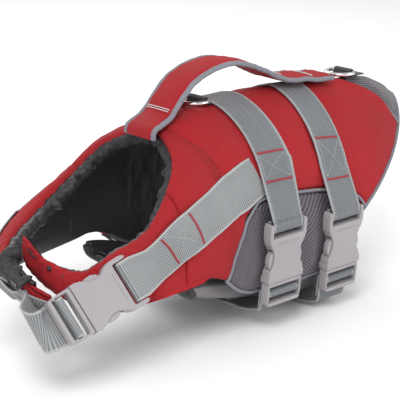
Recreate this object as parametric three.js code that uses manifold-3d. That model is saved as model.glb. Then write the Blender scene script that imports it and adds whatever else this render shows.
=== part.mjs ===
// A dog's life jacket of medium size: a padded saddle, two collar wings that overlap at the chest, a belly
// panel, webbing, three side-release buckles, two D-rings and a grab handle. Millimetres, +Z up. The dog
// faces -X and its left side, where the buckles are, is -Y.
import * as THREE from "three";
import { mergeVertices } from "three/addons/utils/BufferGeometryUtils.js";
import Module from "manifold-3d";

// ---------------------------------------------------------------- driving dimensions
const lengthScale = 1; // of every guide along the dog
const widthScale = 1; // of every guide across the dog
const heightScale = 1; // of every guide's height
const coverThickness = 1.5;
const foamThickness = 7.6;
const liningThickness = 1.2;
const layerGap = 1.65; // between layers that lie face to face
const seamGap = 0.4; // between panels sewn edge to edge
const webbingWidth = 38;
const webbingThickness = 1.6;
const beltRise = 1.6; // from a cover to the webbing sewn on it
const handleWidth = 36;
const handleThickness = 5;
const handleEdgeRadius = 2.2;
const buckleThickness = 11;
const barRadius = 2;
const ringWire = 4;
const ringInnerWidth = 26;
const ringReach = 16; // clear depth of a D from its straight bar
const tabWidth = 22; // of the webbing that keeps each D-ring

const wasm = await Module();
wasm.setup();
const vec = (x, y, z) => new THREE.Vector3(x, y, z);
const lerp = (a, b, t) => a + (b - a) * t;
const smooth = (a, b, x) => {
  const t = Math.min(Math.max((x - a) / (b - a), 0), 1);
  return t * t * (3 - 2 * t);
};
const range = (from, to, count) => Array.from({ length: count + 1 }, (_, i) => lerp(from, to, i / count));

// ---------------------------------------------------------------- materials
const finish = (color, roughness, metalness = 0) =>
  new THREE.MeshStandardMaterial({ color, roughness, metalness });
const redCloth = finish(0xb0202a, 0.85);
const blackCloth = finish(0x1c1c20, 0.6);
const greyMesh = finish(0x6f6873, 0.8);
const greyWebbing = finish(0x858a8e, 0.75);
const greyBinding = finish(0x9a9ca4, 0.6);
const bellyCloth = finish(0x8f8d90, 0.85);
const whiteFoam = finish(0xe9e6dc, 0.9);
const greyPlastic = finish(0xa9a6aa, 0.45);
const steel = finish(0xc9c9c6, 0.25, 1);

// ---------------------------------------------------------------- the body's surface
// Guides run from each collar wing's free end (0) round the collar to the neck (8) and on to the tail (16).
// Each gives a top, widest and bottom point, drawn for the left side, with the wing's own side at -y. Up to
// the neck the top is the collar's rim, and behind it the top is the ridge of the back. The right wing ends
// over the left one.
const neck = 8;
const wingGuides = {
  left: [
    [[-143, 2, -70], [-148, 3, -92], [-142, 3, -114]],
    [[-140, -24, -83], [-147, -31, -102], [-141, -34, -123]],
    [[-123, -53, -92], [-132, -60, -109], [-129, -66, -130]],
    [[-95, -62, -79], [-103, -75, -103], [-101, -83, -124]],
    [[-64, -69, -64], [-72, -87, -95], [-72, -92, -120]],
  ],
  right: [
    [[-153, 50, -113], [-156, 52, -120], [-149, 55, -131]],
    [[-163, 30, -102], [-167, 32, -112], [-159, 33, -127]],
    [[-162, 2, -89], [-167, 2, -102], [-159, 2, -120]],
    [[-138, -28, -80], [-148, -41, -100], [-144, -48, -122]],
    [[-86, -55, -66], [-100, -79, -96], [-100, -87, -121]],
  ],
};
const saddleGuides = [
  [[-36, -62, -38], [-34, -90, -90], [-34, -94, -118]],
  [[-16, -48, -17], [-4, -91, -90], [-8, -92, -118]],
  [[-4, -24, -4], [16, -91, -90], [14, -90, -127]],
  [[0, 0, 2], [32, -91, -90], [28, -87, -138]],
  [[28, 0, 12], [48, -91, -92], [46, -84, -147]],
  [[60, 0, 14], [68, -91, -94], [66, -82, -150]],
  [[98, 0, 16], [92, -91, -96], [90, -81, -152]],
  [[150, 0, 16], [140, -90, -98], [135, -80, -153]],
  [[205, 0, 14], [163, -89, -101], [155, -79, -153]],
  [[255, 0, 12], [178, -89, -103], [167, -78, -153]],
  [[300, 0, 4], [186, -88, -105], [174, -78, -152]],
  [[338, 0, -15], [192, -88, -106], [179, -78, -150]],
];
const drawn = (x, y, z) => vec(x * lengthScale, y * widthScale, z * heightScale);
const scaled = (guides) => guides.map((stop) => stop.map((p) => drawn(...p)));
const guides = {
  left: scaled([...wingGuides.left, ...saddleGuides]),
  right: scaled([...wingGuides.right, ...saddleGuides]),
};
const tail = guides.left.length - 1;

function catmullRom(p0, p1, p2, p3, t) {
  const weights = [
    -t + 2 * t * t - t ** 3,
    2 - 5 * t * t + 3 * t ** 3,
    t + 4 * t * t - 3 * t ** 3,
    -t * t + t ** 3,
  ];
  const sum = vec(0, 0, 0);
  [p0, p1, p2, p3].forEach((p, i) => sum.addScaledVector(p, weights[i] / 2));
  return sum;
}

// The top (0), widest (1) or bottom (2) point at station s. The top guide turns a corner at the neck.
function guideAt(word, which, s) {
  const stops = guides[word];
  const at = Math.min(Math.max(s, 0), tail - 1e-9);
  const i = Math.floor(at);
  const p1 = stops[i][which];
  const p2 = stops[i + 1][which];
  const mirrored = (p) => vec(p.x, -p.y, p.z);
  let before = i > 0 ? stops[i - 1][which] : p1.clone().multiplyScalar(2).sub(p2);
  let after = i + 2 <= tail ? stops[i + 2][which] : p2.clone().multiplyScalar(2).sub(p1);
  if (which === 0 && i === neck) before = p1.clone().multiplyScalar(2).sub(p2);
  if (which === 0 && i + 1 === neck) after = mirrored(p1);
  return catmullRom(before, p1, p2, after, at - i);
}

const bottomTurn = 0.9; // how far round its quarter the lower half of a section goes
const sectionTo = { out: 0.32, drop: 0.26 }; // how pointed the sections are at the tail

// The surface at station s, as drawn for the left: v is 0 at the top, 1 at the widest point, 2 at the bottom.
function drawnSurface(word, s, v) {
  const top = guideAt(word, 0, s);
  const wide = guideAt(word, 1, s);
  if (v <= 1) {
    const sine = Math.sin((v * Math.PI) / 2);
    const rest = 1 - Math.cos((v * Math.PI) / 2);
    const across = lerp(1, sectionTo.out, smooth(neck + 2, tail, s));
    const drop = lerp(0, sectionTo.drop, smooth(neck + 1, tail, s));
    return vec(
      lerp(top.x, wide.x, lerp(rest, sine, across)),
      lerp(top.y, wide.y, sine),
      lerp(top.z, wide.z, lerp(rest, sine, drop)),
    );
  }
  const bottom = guideAt(word, 2, s);
  const angle = ((v - 1) * Math.PI) / 2;
  const inward = (1 - Math.cos(angle * bottomTurn)) / (1 - Math.cos((Math.PI / 2) * bottomTurn));
  return vec(
    lerp(wide.x, bottom.x, inward),
    lerp(wide.y, bottom.y, inward),
    lerp(wide.z, bottom.z, Math.sin(angle)),
  );
}

const sideOf = { left: -1, right: 1 };
// Past the ridge (v < 0) the surface goes on down the other side.
function surface(word, s, v) {
  const p = drawnSurface(word, s, Math.abs(v));
  p.y *= -sideOf[word] * (v < 0 ? -1 : 1);
  return p;
}

const step = 1e-3;
function slopes(word, s, v) {
  const s0 = Math.min(Math.max(s, step), tail - 2 * step);
  const v0 = Math.min(Math.max(v, 2 * step - 2), 2 - 2 * step);
  const alongS = surface(word, s0 + step, v).sub(surface(word, s0 - step, v));
  const alongV = surface(word, s, v0 + step).sub(surface(word, s, v0 - step));
  return [alongS.multiplyScalar(0.5 / step), alongV.multiplyScalar(0.5 / step)];
}

function outward(word, s, v) {
  const rim = s < neck && Math.abs(v) < 0.01 ? 0.01 : v;
  const [alongS, alongV] = slopes(word, s, rim);
  return alongS.cross(alongV).multiplyScalar(sideOf[word]).normalize();
}

const above = (word, s, v, off) => surface(word, s, v).addScaledVector(outward(word, s, v), off);

// The station behind the collar whose surface has this x at this v.
function stationAt(x, v) {
  let low = neck - 3;
  let high = tail;
  for (let i = 0; i < 40; i++) {
    const middle = (low + high) / 2;
    if (drawnSurface("left", middle, Math.abs(v)).x < x * lengthScale) low = middle;
    else high = middle;
  }
  return (low + high) / 2;
}

// The padding thins towards the free end of each collar wing.
const tipThinness = 0.4;
const thinned = (s) => lerp(tipThinness, 1, smooth(0.8, 4, s));

// ---------------------------------------------------------------- making solids
function geometryOf(points, triangles) {
  let volume = 0;
  for (let i = 0; i < triangles.length; i += 3) {
    const [a, b, c] = [0, 1, 2].map((k) => points[triangles[i + k]]);
    volume += a.dot(b.clone().cross(c));
  }
  if (volume < 0) triangles.reverse();
  const geometry = new THREE.BufferGeometry();
  const numbers = points.flatMap((p) => [p.x, p.y, p.z]);
  geometry.setAttribute("position", new THREE.Float32BufferAttribute(numbers, 3));
  geometry.setIndex(triangles);
  geometry.computeVertexNormals();
  return geometry;
}

// A solid skinned over rings of points, capped at both ends, or joined end to end when it is a hoop.
function loft(rings, hoop = false) {
  const points = rings.flat();
  const n = rings[0].length;
  const triangles = [];
  const count = hoop ? rings.length : rings.length - 1;
  for (let i = 0; i < count; i++) {
    const here = i * n;
    const next = ((i + 1) % rings.length) * n;
    for (let j = 0; j < n; j++) {
      const k = (j + 1) % n;
      triangles.push(here + j, next + j, next + k, here + j, next + k, here + k);
    }
  }
  if (!hoop) {
    const end = (rings.length - 1) * n;
    for (let j = 1; j < n - 1; j++) {
      triangles.push(0, j, j + 1);
      triangles.push(end, end + j + 1, end + j);
    }
  }
  return geometryOf(points, triangles);
}

// A closed sheet over a grid: pointAt(i, j, face) gives its outer (1) and inner (0) face.
function sheet(iValues, jValues, pointAt) {
  const points = [];
  for (const face of [1, 0])
    for (const i of iValues) for (const j of jValues) points.push(pointAt(i, j, face));
  const columns = iValues.length - 1;
  const rows = jValues.length - 1;
  const at = (i, j, face) => (face ? 0 : (columns + 1) * (rows + 1)) + i * (rows + 1) + j;
  const triangles = [];
  const quad = (a, b, c, d) => triangles.push(a, b, c, a, c, d);
  for (let i = 0; i < columns; i++) {
    for (let j = 0; j < rows; j++) {
      quad(at(i, j, 1), at(i + 1, j, 1), at(i + 1, j + 1, 1), at(i, j + 1, 1));
      quad(at(i, j, 0), at(i, j + 1, 0), at(i + 1, j + 1, 0), at(i + 1, j, 0));
    }
    quad(at(i, 0, 0), at(i + 1, 0, 0), at(i + 1, 0, 1), at(i, 0, 1));
    quad(at(i, rows, 1), at(i + 1, rows, 1), at(i + 1, rows, 0), at(i, rows, 0));
  }
  for (let j = 0; j < rows; j++) {
    quad(at(0, j, 1), at(0, j + 1, 1), at(0, j + 1, 0), at(0, j, 0));
    quad(at(columns, j, 0), at(columns, j + 1, 0), at(columns, j + 1, 1), at(columns, j, 1));
  }
  return geometryOf(points, triangles);
}

// A panel between two v limits over a list of stations. faces gives its outer and inner offsets.
function panel(word, stops, rows, { top, bottom, faces, endInset = 0, padded = false }) {
  return sheet(stops, range(0, 1, rows), (stop, j, face) => {
    const v = padded
      ? Math.min(Math.max(2 * j, top(stop)), bottom(stop))
      : lerp(top(stop), bottom(stop), j);
    const s = stop === stops.at(-1) ? stop - endInset / slopes(word, stop, v)[0].length() : stop;
    const thickness = (faces[0] - faces[1]) * (padded ? thinned(s) : 1);
    const p = above(word, s, v, faces[0] * thinned(s) - (face ? 0 : thickness));
    const side = sideOf[word];
    if (s >= neck) p.y = side * Math.max(side * p.y, seamGap / 2); // the halves meet on the ridge
    return p;
  });
}

// Cross-sections of webbing: each is a function of (j across, off its inner face).
function onSurface(word, s, v, ahead, rise, width = webbingWidth) {
  const [s2, v2] = ahead;
  const along = surface(word, s2, v2).sub(surface(word, s, v)).normalize();
  const across = outward(word, s, v).cross(along).normalize();
  const [alongS, alongV] = slopes(word, s, v);
  const ss = alongS.dot(alongS);
  const vv = alongV.dot(alongV);
  const sv = alongS.dot(alongV);
  const ds = (across.dot(alongS) * vv - across.dot(alongV) * sv) / (ss * vv - sv * sv);
  const dv = (across.dot(alongV) * ss - across.dot(alongS) * sv) / (ss * vv - sv * sv);
  return (j, off) => {
    const reach = (j - 0.5) * width;
    const vAt = s < neck ? Math.min(Math.max(v + reach * dv, 0.03), 1.97) : v + reach * dv;
    return above(word, s + reach * ds, vAt, rise + off);
  };
}

const inSpace = (centre, across, normal, width = webbingWidth) => (j, off) =>
  centre.clone().addScaledVector(across, (j - 0.5) * width).addScaledVector(normal, off);

const webbing = (sections, rows = 4) =>
  sheet(range(0, sections.length - 1, sections.length - 1), range(0, 1, rows), (i, j, face) =>
    sections[Math.round(i)](j, face * webbingThickness),
  );

// Sections along a list of [s, v] stops on the surface, riseAt(t) above it.
function laidSections(word, stops, count, riseAt = () => beltRise) {
  const at = (t) => {
    const k = Math.min(Math.max(t, 0), 1) * (stops.length - 1);
    const i = Math.min(Math.floor(k), stops.length - 2);
    const point = (n) => vec(...(stops[n] ?? stops[Math.min(Math.max(n, 0), stops.length - 1)]), 0);
    const before = i > 0 ? point(i - 1) : point(0).multiplyScalar(2).sub(point(1));
    const last = point(stops.length - 1);
    const after = i + 2 < stops.length ? point(i + 2) : last.clone().multiplyScalar(2).sub(point(i));
    const p = catmullRom(before, point(i), point(i + 1), after, k - i);
    return [p.x, p.y];
  };
  return range(0, 1, count).map((t) => {
    const [s, v] = at(Math.min(t, 1 - 1e-3));
    return onSurface(word, s, v, at(Math.min(t, 1 - 1e-3) + 1e-3), riseAt(t));
  });
}

function solidOf(geometry) {
  const plain = geometry.clone();
  plain.deleteAttribute("normal");
  plain.deleteAttribute("uv");
  const merged = mergeVertices(plain, 1e-4);
  return new wasm.Manifold(
    new wasm.Mesh({
      numProp: 3,
      vertProperties: new Float32Array(merged.attributes.position.array),
      triVerts: new Uint32Array(merged.index.array),
    }),
  );
}

function geometryFrom(solid) {
  const mesh = solid.getMesh();
  const geometry = new THREE.BufferGeometry();
  geometry.setAttribute("position", new THREE.BufferAttribute(new Float32Array(mesh.vertProperties), 3));
  geometry.setIndex(new THREE.BufferAttribute(new Uint32Array(mesh.triVerts), 1));
  geometry.computeVertexNormals();
  return geometry;
}

const jacket = new THREE.Group();
function add(name, geometry, material) {
  const mesh = new THREE.Mesh(geometry, material.clone());
  mesh.name = name;
  jacket.add(mesh);
  return mesh;
}

// ---------------------------------------------------------------- saddle, wings and mesh panels
const foamOuter = -(coverThickness + layerGap);
const foamInner = foamOuter - foamThickness;
const liningOuter = foamInner - layerGap;
const liningInner = liningOuter - liningThickness;
const coverFaces = [0, -coverThickness];
const foamFaces = [foamOuter, foamInner];
const liningFaces = [liningOuter, liningInner];
const wingSeam = 5; // the station where a wing is sewn to the saddle
const stationGap = 0.03;
const vGap = 0.008;
const foamFrom = { left: 2, right: 2.9 }; // the wings' thin free ends have no foam
const liningFrom = { left: 0.7, right: 0.7 }; // the lining stops short of each wing's tight end
const liningSpan = { wing: [0.14, 1.7], saddle: [0, 1.8] }; // v where a lining starts and ends
const insetMost = { wing: 0.3, saddle: 0.18 }; // of v, where a panel is short
const edgeInset = 6; // the foam stops this far short of the seams
const upTo = (value) => () => value;

// Where the saddle's cover gives way to the side mesh: its lower edge's v at each [station, v].
const meshEdge = [
  [7, 2], [7.25, 1.6], [7.5, 1.28], [8, 1.01], [8.5, 0.9], [9.5, 0.8], [10.5, 0.77], [12.5, 0.81], [14, 0.84], [16, 0.92],
];
const meshFrom = meshEdge[0][0];
const coverLow = (s) => {
  if (s <= meshFrom) return 2;
  const i = Math.max(meshEdge.findIndex(([at]) => at >= s), 1);
  const [[s0, v0], [s1, v1]] = [meshEdge[i - 1], meshEdge[i]];
  return lerp(v0, v1, (s - s0) / (s1 - s0));
};
const tailMeshFrom = 13.5;
const tailMeshV = 0.36; // half the tail mesh at the rear edge
const coverHigh = (s) => (s <= tailMeshFrom ? 0 : (tailMeshV * (s - tailMeshFrom)) / (tail - tailMeshFrom));

const meshTurn = meshFrom + 1; // closer stations up to here, where the cover's edge turns
const saddleStops = [
  ...range(wingSeam + stationGap, meshFrom, 4),
  ...range(meshFrom, meshTurn, 4).slice(1),
  ...range(meshTurn, tail, 16).slice(1),
];
const wingStops = range(0, wingSeam - stationGap, 13);

for (const word of ["left", "right"]) {
  const whole = { top: upTo(0), bottom: upTo(2), faces: coverFaces };
  const lined = ([from, to]) => ({ top: upTo(from), bottom: upTo(to), faces: liningFaces });
  const insetAt = (s, v) => {
    const wanted = (edgeInset * lerp(2, 1, smooth(0, 4, s))) / slopes(word, s, v)[1].length();
    return Math.min(wanted, s < wingSeam ? insetMost.wing : insetMost.saddle);
  };
  const inset = {
    top: (s) => insetAt(s, 0.01),
    bottom: (s) => 2 - insetAt(s, 2),
    endInset: edgeInset * 2,
    padded: true,
  };
  const cover = { top: coverHigh, bottom: coverLow, faces: coverFaces };
  add(`saddle_cover_${word}`, panel(word, saddleStops, 10, cover), redCloth);
  const side = { top: (s) => coverLow(s) + vGap, bottom: upTo(2), faces: coverFaces };
  add(`side_mesh_${word}`, panel(word, saddleStops.filter((s) => s > meshFrom + 0.3), 7, side), greyMesh);
  const saddleFoam = panel(word, saddleStops.slice(1), 10, { ...inset, faces: foamFaces });
  add(`saddle_foam_${word}`, saddleFoam, whiteFoam);
  add(`saddle_lining_${word}`, panel(word, saddleStops, 10, lined(liningSpan.saddle)), blackCloth);
  add(`wing_cover_${word}`, panel(word, wingStops, 6, whole), redCloth);
  const foamStops = wingStops.filter((s) => s > foamFrom[word]);
  add(`wing_foam_${word}`, panel(word, foamStops, 6, { ...inset, faces: foamFaces }), whiteFoam);
  const liningStops = wingStops.filter((s) => s >= liningFrom[word]);
  add(`wing_lining_${word}`, panel(word, liningStops, 6, lined(liningSpan.wing)), blackCloth);
}
const tailStops = saddleStops.filter((s) => s > tailMeshFrom + 0.6);
const tailMesh = sheet(tailStops, range(-1, 1, 6), (s, j, face) =>
  above("left", s, j * (coverHigh(s) - vGap), coverFaces[1 - face]),
);
add("tail_mesh", tailMesh, greyMesh);

// ---------------------------------------------------------------- bindings
const bindingThickness = 2.4;
const bindingGap = 1.8;
const tightTurnGap = 0.56 * foamThickness; // more of it where the edge turns tightly
const rimBindingThickness = 3.6;
// A binding that wraps a cut edge: the edge runs along stops, and away(stop) points off the panel.
function edgeBinding(word, stops, away, thickness, overlap) {
  const rings = stops.map(([s, v]) => {
    const gap = bindingGap + (Math.abs(v) > 1 || s < 3 ? tightTurnGap : 0);
    const normal = outward(word, s, v);
    const edge = surface(word, s, v).addScaledVector(normal, overlap);
    const depth = liningOuter * thinned(s) - liningThickness - overlap;
    const deep = surface(word, s, v).addScaledVector(normal, depth);
    const off = away(s, v);
    return [
      edge.clone().addScaledVector(off, gap),
      edge.clone().addScaledVector(off, gap + thickness * 0.7),
      edge.clone().lerp(deep, 0.5).addScaledVector(off, gap + thickness),
      deep.clone().addScaledVector(off, gap + thickness * 0.7),
      deep.clone().addScaledVector(off, gap),
    ];
  });
  return loft(rings);
}
const offTail = (s, v) => {
  const [alongS, alongV] = slopes("left", s, v);
  const edge = alongV.normalize();
  return alongS.addScaledVector(edge, -alongS.dot(edge)).normalize();
};
const tailEdge = range(-1.62, 1.62, 18).map((v) => [tail, v]);
add("tail_binding", edgeBinding("left", tailEdge, offTail, bindingThickness, 0.4), greyBinding);
for (const word of ["left", "right"]) {
  const offRim = (s) => {
    const [alongS, alongV] = slopes(word, s, 0.01);
    const edge = alongS.normalize();
    return alongV.addScaledVector(edge, -alongV.dot(edge)).normalize().negate();
  };
  const rim = range(word === "left" ? 1.25 : 0.9, neck - 0.12, 24).map((s) => [s, 0]);
  add(`neck_binding_${word}`, edgeBinding(word, rim, offRim, rimBindingThickness, -0.6), blackCloth);
}

// ---------------------------------------------------------------- belly panel
const bellyTop = { front: -127, rear: -142 };
const bellyLow = { front: -149, rear: -188 };
const bellyHalf = { front: 77, rear: 66 };
const bellyFoamThickness = 5;
const bellyFall = 190; // x by which the belly has come down to its lowest
const bellyEnds = (phi) => [-19 + 24 * Math.sin(phi) ** 2, 198 + 14 * Math.sin(phi)];
// phi runs from the left edge (0) under the belly to the right edge (pi).
function belly(x, phi) {
  const top = lerp(bellyTop.front, bellyTop.rear, smooth(-19, 60, x));
  const fall = Math.sin((Math.PI / 2) * Math.min(Math.max(x, 0) / bellyFall, 1));
  const low = lerp(bellyLow.front, bellyLow.rear, fall);
  const half = lerp(bellyHalf.front, bellyHalf.rear, smooth(-19, 50, x));
  const r = (Math.cos(phi) ** 4 + Math.sin(phi) ** 4) ** -0.25;
  const drop = (top - low) * r * Math.sin(phi);
  return vec(x * lengthScale, -half * r * Math.cos(phi) * widthScale, (top - drop) * heightScale);
}
function belowBelly(x, phi, off) {
  const alongX = belly(x + step, phi).sub(belly(x - step, phi));
  const alongPhi = belly(x, phi + step).sub(belly(x, phi - step));
  return belly(x, phi).addScaledVector(alongPhi.cross(alongX).normalize(), off);
}
const bellyFoamInner = foamOuter - bellyFoamThickness;
const bellyLiningOuter = bellyFoamInner - layerGap;
const bellyLayers = [
  ["belly_cover", bellyCloth, coverFaces, 0],
  ["belly_foam", whiteFoam, [foamOuter, bellyFoamInner], 0.04],
  ["belly_lining", blackCloth, [bellyLiningOuter, bellyLiningOuter - liningThickness], 0],
];
for (const [name, material, faces, inset] of bellyLayers) {
  const across = range(0, Math.PI, 24).slice(inset ? 1 : 0, inset ? -1 : 25);
  const layer = sheet(range(inset, 1 - inset, 8), across, (i, phi, face) => {
    const [front, rear] = bellyEnds(phi);
    return belowBelly(lerp(front, rear, i), phi, faces[1 - face]);
  });
  add(name, layer, material);
}

// ---------------------------------------------------------------- side-release buckles
// Drawn with x across, y towards the male end and z outwards.
const drawnWebbing = 38; // the buckles are drawn for webbing this wide
const mouth = 17;
const hornTip = -41;
const femaleHalf = 22;
const cavity = { half: 20.2, deep: -16, height: 7.2 };
const femaleBarY = -35;
const maleBarY = 29.5;
const maleEnd = 41;
const insideHeight = 6.2; // of the arms and the tongue, inside the cavity
const tongueHalf = 4;
const armRoot = [14.5, 16.6];

function extruded(outline, height, holes = []) {
  const shape = new THREE.Shape(outline.map(([x, y]) => new THREE.Vector2(x, y)));
  shape.holes = holes.map((hole) => new THREE.Path(hole.map(([x, y]) => new THREE.Vector2(x, y))));
  const geometry = new THREE.ExtrudeGeometry(shape, { depth: height, bevelEnabled: false });
  return solidOf(geometry.translate(0, 0, -height / 2));
}
const block = (x0, x1, y0, y1, height) => extruded([[x0, y0], [x1, y0], [x1, y1], [x0, y1]], height);
const bar = (y, half) =>
  wasm.Manifold.cylinder(2 * half, barRadius, barRadius, 16, true).rotate([0, 90, 0]).translate([0, y, 0]);
const bothSides = (outline) => [...outline, ...outline.map(([x, y]) => [-x, y]).reverse()];

const femaleOutline = bothSides([
  [femaleHalf, mouth], [femaleHalf, 9], [20.6, 4.5], [17.4, 0.5], [14.8, -4], [14.4, -8], [15.6, -13],
  [18.8, -18.5], [22, -23.5], [23.5, -29], [23.5, -37], [22.6, -40], [21, hornTip], [19.6, -39.6],
  [19.6, -27.5],
]);
const female = extruded(femaleOutline, buckleThickness)
  .subtract(block(-cavity.half, cavity.half, cavity.deep, mouth + 1, cavity.height))
  .add(bar(femaleBarY, 20.5));
const maleOutline = bothSides([[21.8, mouth + seamGap], [21.8, 32], [20.4, maleEnd]]);
const maleWindow = [[-19.6, 21.5], [19.6, 21.5], [19.4, 37.5], [-19.4, 37.5]];
const male = extruded(maleOutline, buckleThickness - 1, [maleWindow])
  .add(bar(maleBarY, 20))
  .add(block(-tongueHalf, tongueHalf, -8, mouth + 2, insideHeight));
const armOutline = [
  [12.6, 16.6], [16.4, 16.6], [17.4, 9], [19.3, 4], [19.8, -1], [19.6, -6], [17.6, -11], [15, -13.5],
  [12.2, -13], [11.4, -9], [12.6, 0],
];
const arm = extruded(armOutline, insideHeight);

// Webbing bent through points [y, z] of a buckle, as sections across x.
function bentSections(points, place, across = 1) {
  return points.map(([y, z], i) => {
    const [y0, z0] = points[Math.max(i - 1, 0)];
    const [y1, z1] = points[Math.min(i + 1, points.length - 1)];
    const length = Math.hypot(y1 - y0, z1 - z0);
    const normal = vec(0, -(z1 - z0) / length, (y1 - y0) / length);
    const start = vec(0, y, z).addScaledVector(normal, -webbingThickness / 2);
    const turned = (v) => v.transformDirection(place);
    return inSpace(start.applyMatrix4(place), turned(vec(across, 0, 0)), turned(normal), webbingWidth - 0.4);
  });
}
const around = (y, radius, from, to, count) =>
  range(from, to, count).map((a) => [y + radius * Math.cos(a), radius * Math.sin(a)]);
const wrapRadius = barRadius + 0.4 + webbingThickness / 2;
const maleWrap = [
  [45, -6.7], [39, -6.7], [34.4, -5.4], [32.8, -2.6],
  ...around(maleBarY, wrapRadius, 0, Math.PI, 8),
  [26.4, -3], [27.2, -6.4], [30, -8.9], [38, -9.3], [45, -9.3],
];
const femaleWrap = [
  [-46, 0.2], [-42, 2.2], [-38.5, wrapRadius],
  ...around(femaleBarY, wrapRadius, Math.PI / 2, -Math.PI / 2, 8),
  [-38.5, -3.6], [-42, -4],
];

function placeOf(centre, axis, normal) {
  const across = axis.clone().cross(normal).normalize();
  const out = across.clone().cross(axis).normalize();
  return new THREE.Matrix4().makeBasis(across, axis.clone().normalize(), out).setPosition(centre);
}
const sideAxis = vec(0, 0.08, -1);
const sideNormal = vec(0, -1, -0.08);
const frontBeltX = { ridge: 87, side: 80 };
const rearBeltX = { ridge: 175, side: 160 };
const buckles = {
  chest: placeOf(drawn(-131.9, -87.7, -108.2), vec(-0.96, 0.05, -0.27), vec(-0.19, -0.82, 0.53)),
  front: placeOf(drawn(frontBeltX.side, -97, -121), sideAxis, sideNormal),
  rear: placeOf(drawn(rearBeltX.side, -95.6, -127), sideAxis, sideNormal),
};
const widened = new THREE.Matrix4().makeScale(webbingWidth / drawnWebbing, 1, 1);
for (const [word, place] of Object.entries(buckles)) {
  const put = (name, geometry, material) =>
    add(`${word}_buckle_${name}`, geometry.applyMatrix4(widened).applyMatrix4(place), material);
  put("female", geometryFrom(female), greyPlastic);
  put("male", geometryFrom(male), greyPlastic);
  put("arm_a", geometryFrom(arm), greyPlastic);
  put("arm_b", geometryFrom(arm.mirror([1, 0, 0])), greyPlastic);
  add(`${word}_buckle_webbing`, webbing(bentSections(maleWrap, place), 1), greyWebbing);
}

// ---------------------------------------------------------------- belts and neck straps
const beltEnd = 0.68; // phi where a belt's sewn part ends under the left side
function belt(x, place, lastV) {
  const at = (v) => [stationAt(lerp(x.ridge, x.side, Math.min(Math.abs(v), 1)), v), v];
  const under = range(beltEnd, Math.PI - 0.42, 12).map((phi) => (j, off) =>
    belowBelly(x.side + (j - 0.5) * (webbingWidth / lengthScale), phi, beltRise + off),
  );
  const stops = [...range(-1.92, 0, 22), ...range(0, lastV, 8).slice(1)];
  const over = stops.map((v) => onSurface("left", ...at(v), at(v + step), beltRise));
  const bent = bentSections(femaleWrap, place, -1);
  return webbing([...under, ...over, ...bent]);
}
add("front_belt", belt(frontBeltX, buckles.front, 0.62), greyWebbing);
add("rear_belt", belt(rearBeltX, buckles.rear, 0.68), greyWebbing);

// The left neck strap runs from the front belt to the chest buckle.
const neckPath = [[9.35, 0.68], [8.25, 0.71], [7, 0.72], [6, 0.73], [5.4, 0.75], [4.7, 0.8]];
const chestBend = bentSections(femaleWrap, buckles.chest, -1);
const neckSections = laidSections("left", [...neckPath, [4.05, 0.95]], 16, (t) => beltRise + 0.8 * t);
add("neck_strap_left", webbing([...neckSections, ...chestBend]), greyWebbing);
// The right one goes on round the chest to the end of the right wing.
const chestPath = [...neckPath, [4, 1], [3, 1], [2, 1], [1.2, 1], [0.45, 1]];
add("neck_strap_right", webbing(laidSections("right", chestPath, 34)), greyWebbing);

// ---------------------------------------------------------------- handle
const handlePath = [
  [1, 3.6], [8, 7.6], [16, 15], [25, 25], [41, 39], [64, 47.5], [91, 49.5], [120, 41], [146, 28.5],
  [168, 21.5], [190, 19.6], [205, 16.6], [226, 15.6],
].map(([x, z]) => drawn(x, 0, z));
const handleCurve = new THREE.CatmullRomCurve3(handlePath, false, "centripetal");
const handleFrom = 19 * lengthScale; // the arch moves between these two planes
const handleTo = 150 * lengthScale;
const planeGap = 0.3;
const handleFrames = range(0, 1, 34).map((t) => {
  const before = handleCurve.getPoint(Math.max(t - step, 0));
  const tangent = handleCurve.getPoint(Math.min(t + step, 1)).sub(before);
  return { at: handleCurve.getPoint(t), normal: vec(-tangent.z, 0, tangent.x).normalize() };
});
const strip = solidOf(
  sheet(handleFrames, [-0.5, 0.5], ({ at, normal }, j, face) =>
    at.clone().addScaledVector(normal, face * handleThickness).add(vec(0, j * handleWidth, 0)),
  ),
);
const edgeCentre = handleWidth / 2 + handleEdgeRadius + planeGap;
const edgeTube = (side) => {
  const around = range(0, 2 * Math.PI, 8).slice(1);
  const rings = handleFrames.map(({ at, normal }) =>
    around.map((a) =>
      at
        .clone()
        .addScaledVector(normal, handleThickness / 2 + handleEdgeRadius * Math.sin(a))
        .add(vec(0, side * edgeCentre + handleEdgeRadius * Math.cos(a), 0)),
    ),
  );
  return solidOf(loft(rings));
};
const moving = (solid) =>
  solid.trimByPlane([1, 0, 0], handleFrom + planeGap).trimByPlane([-1, 0, 0], -(handleTo - planeGap));
add("handle_foot_front", geometryFrom(strip.trimByPlane([-1, 0, 0], -handleFrom)), redCloth);
add("handle_foot_rear", geometryFrom(strip.trimByPlane([1, 0, 0], handleTo)), redCloth);
add("handle_arch", geometryFrom(moving(strip)), redCloth);
add("handle_edge_left", geometryFrom(moving(edgeTube(-1))), greyBinding);
add("handle_edge_right", geometryFrom(moving(edgeTube(1))), greyBinding);

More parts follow.
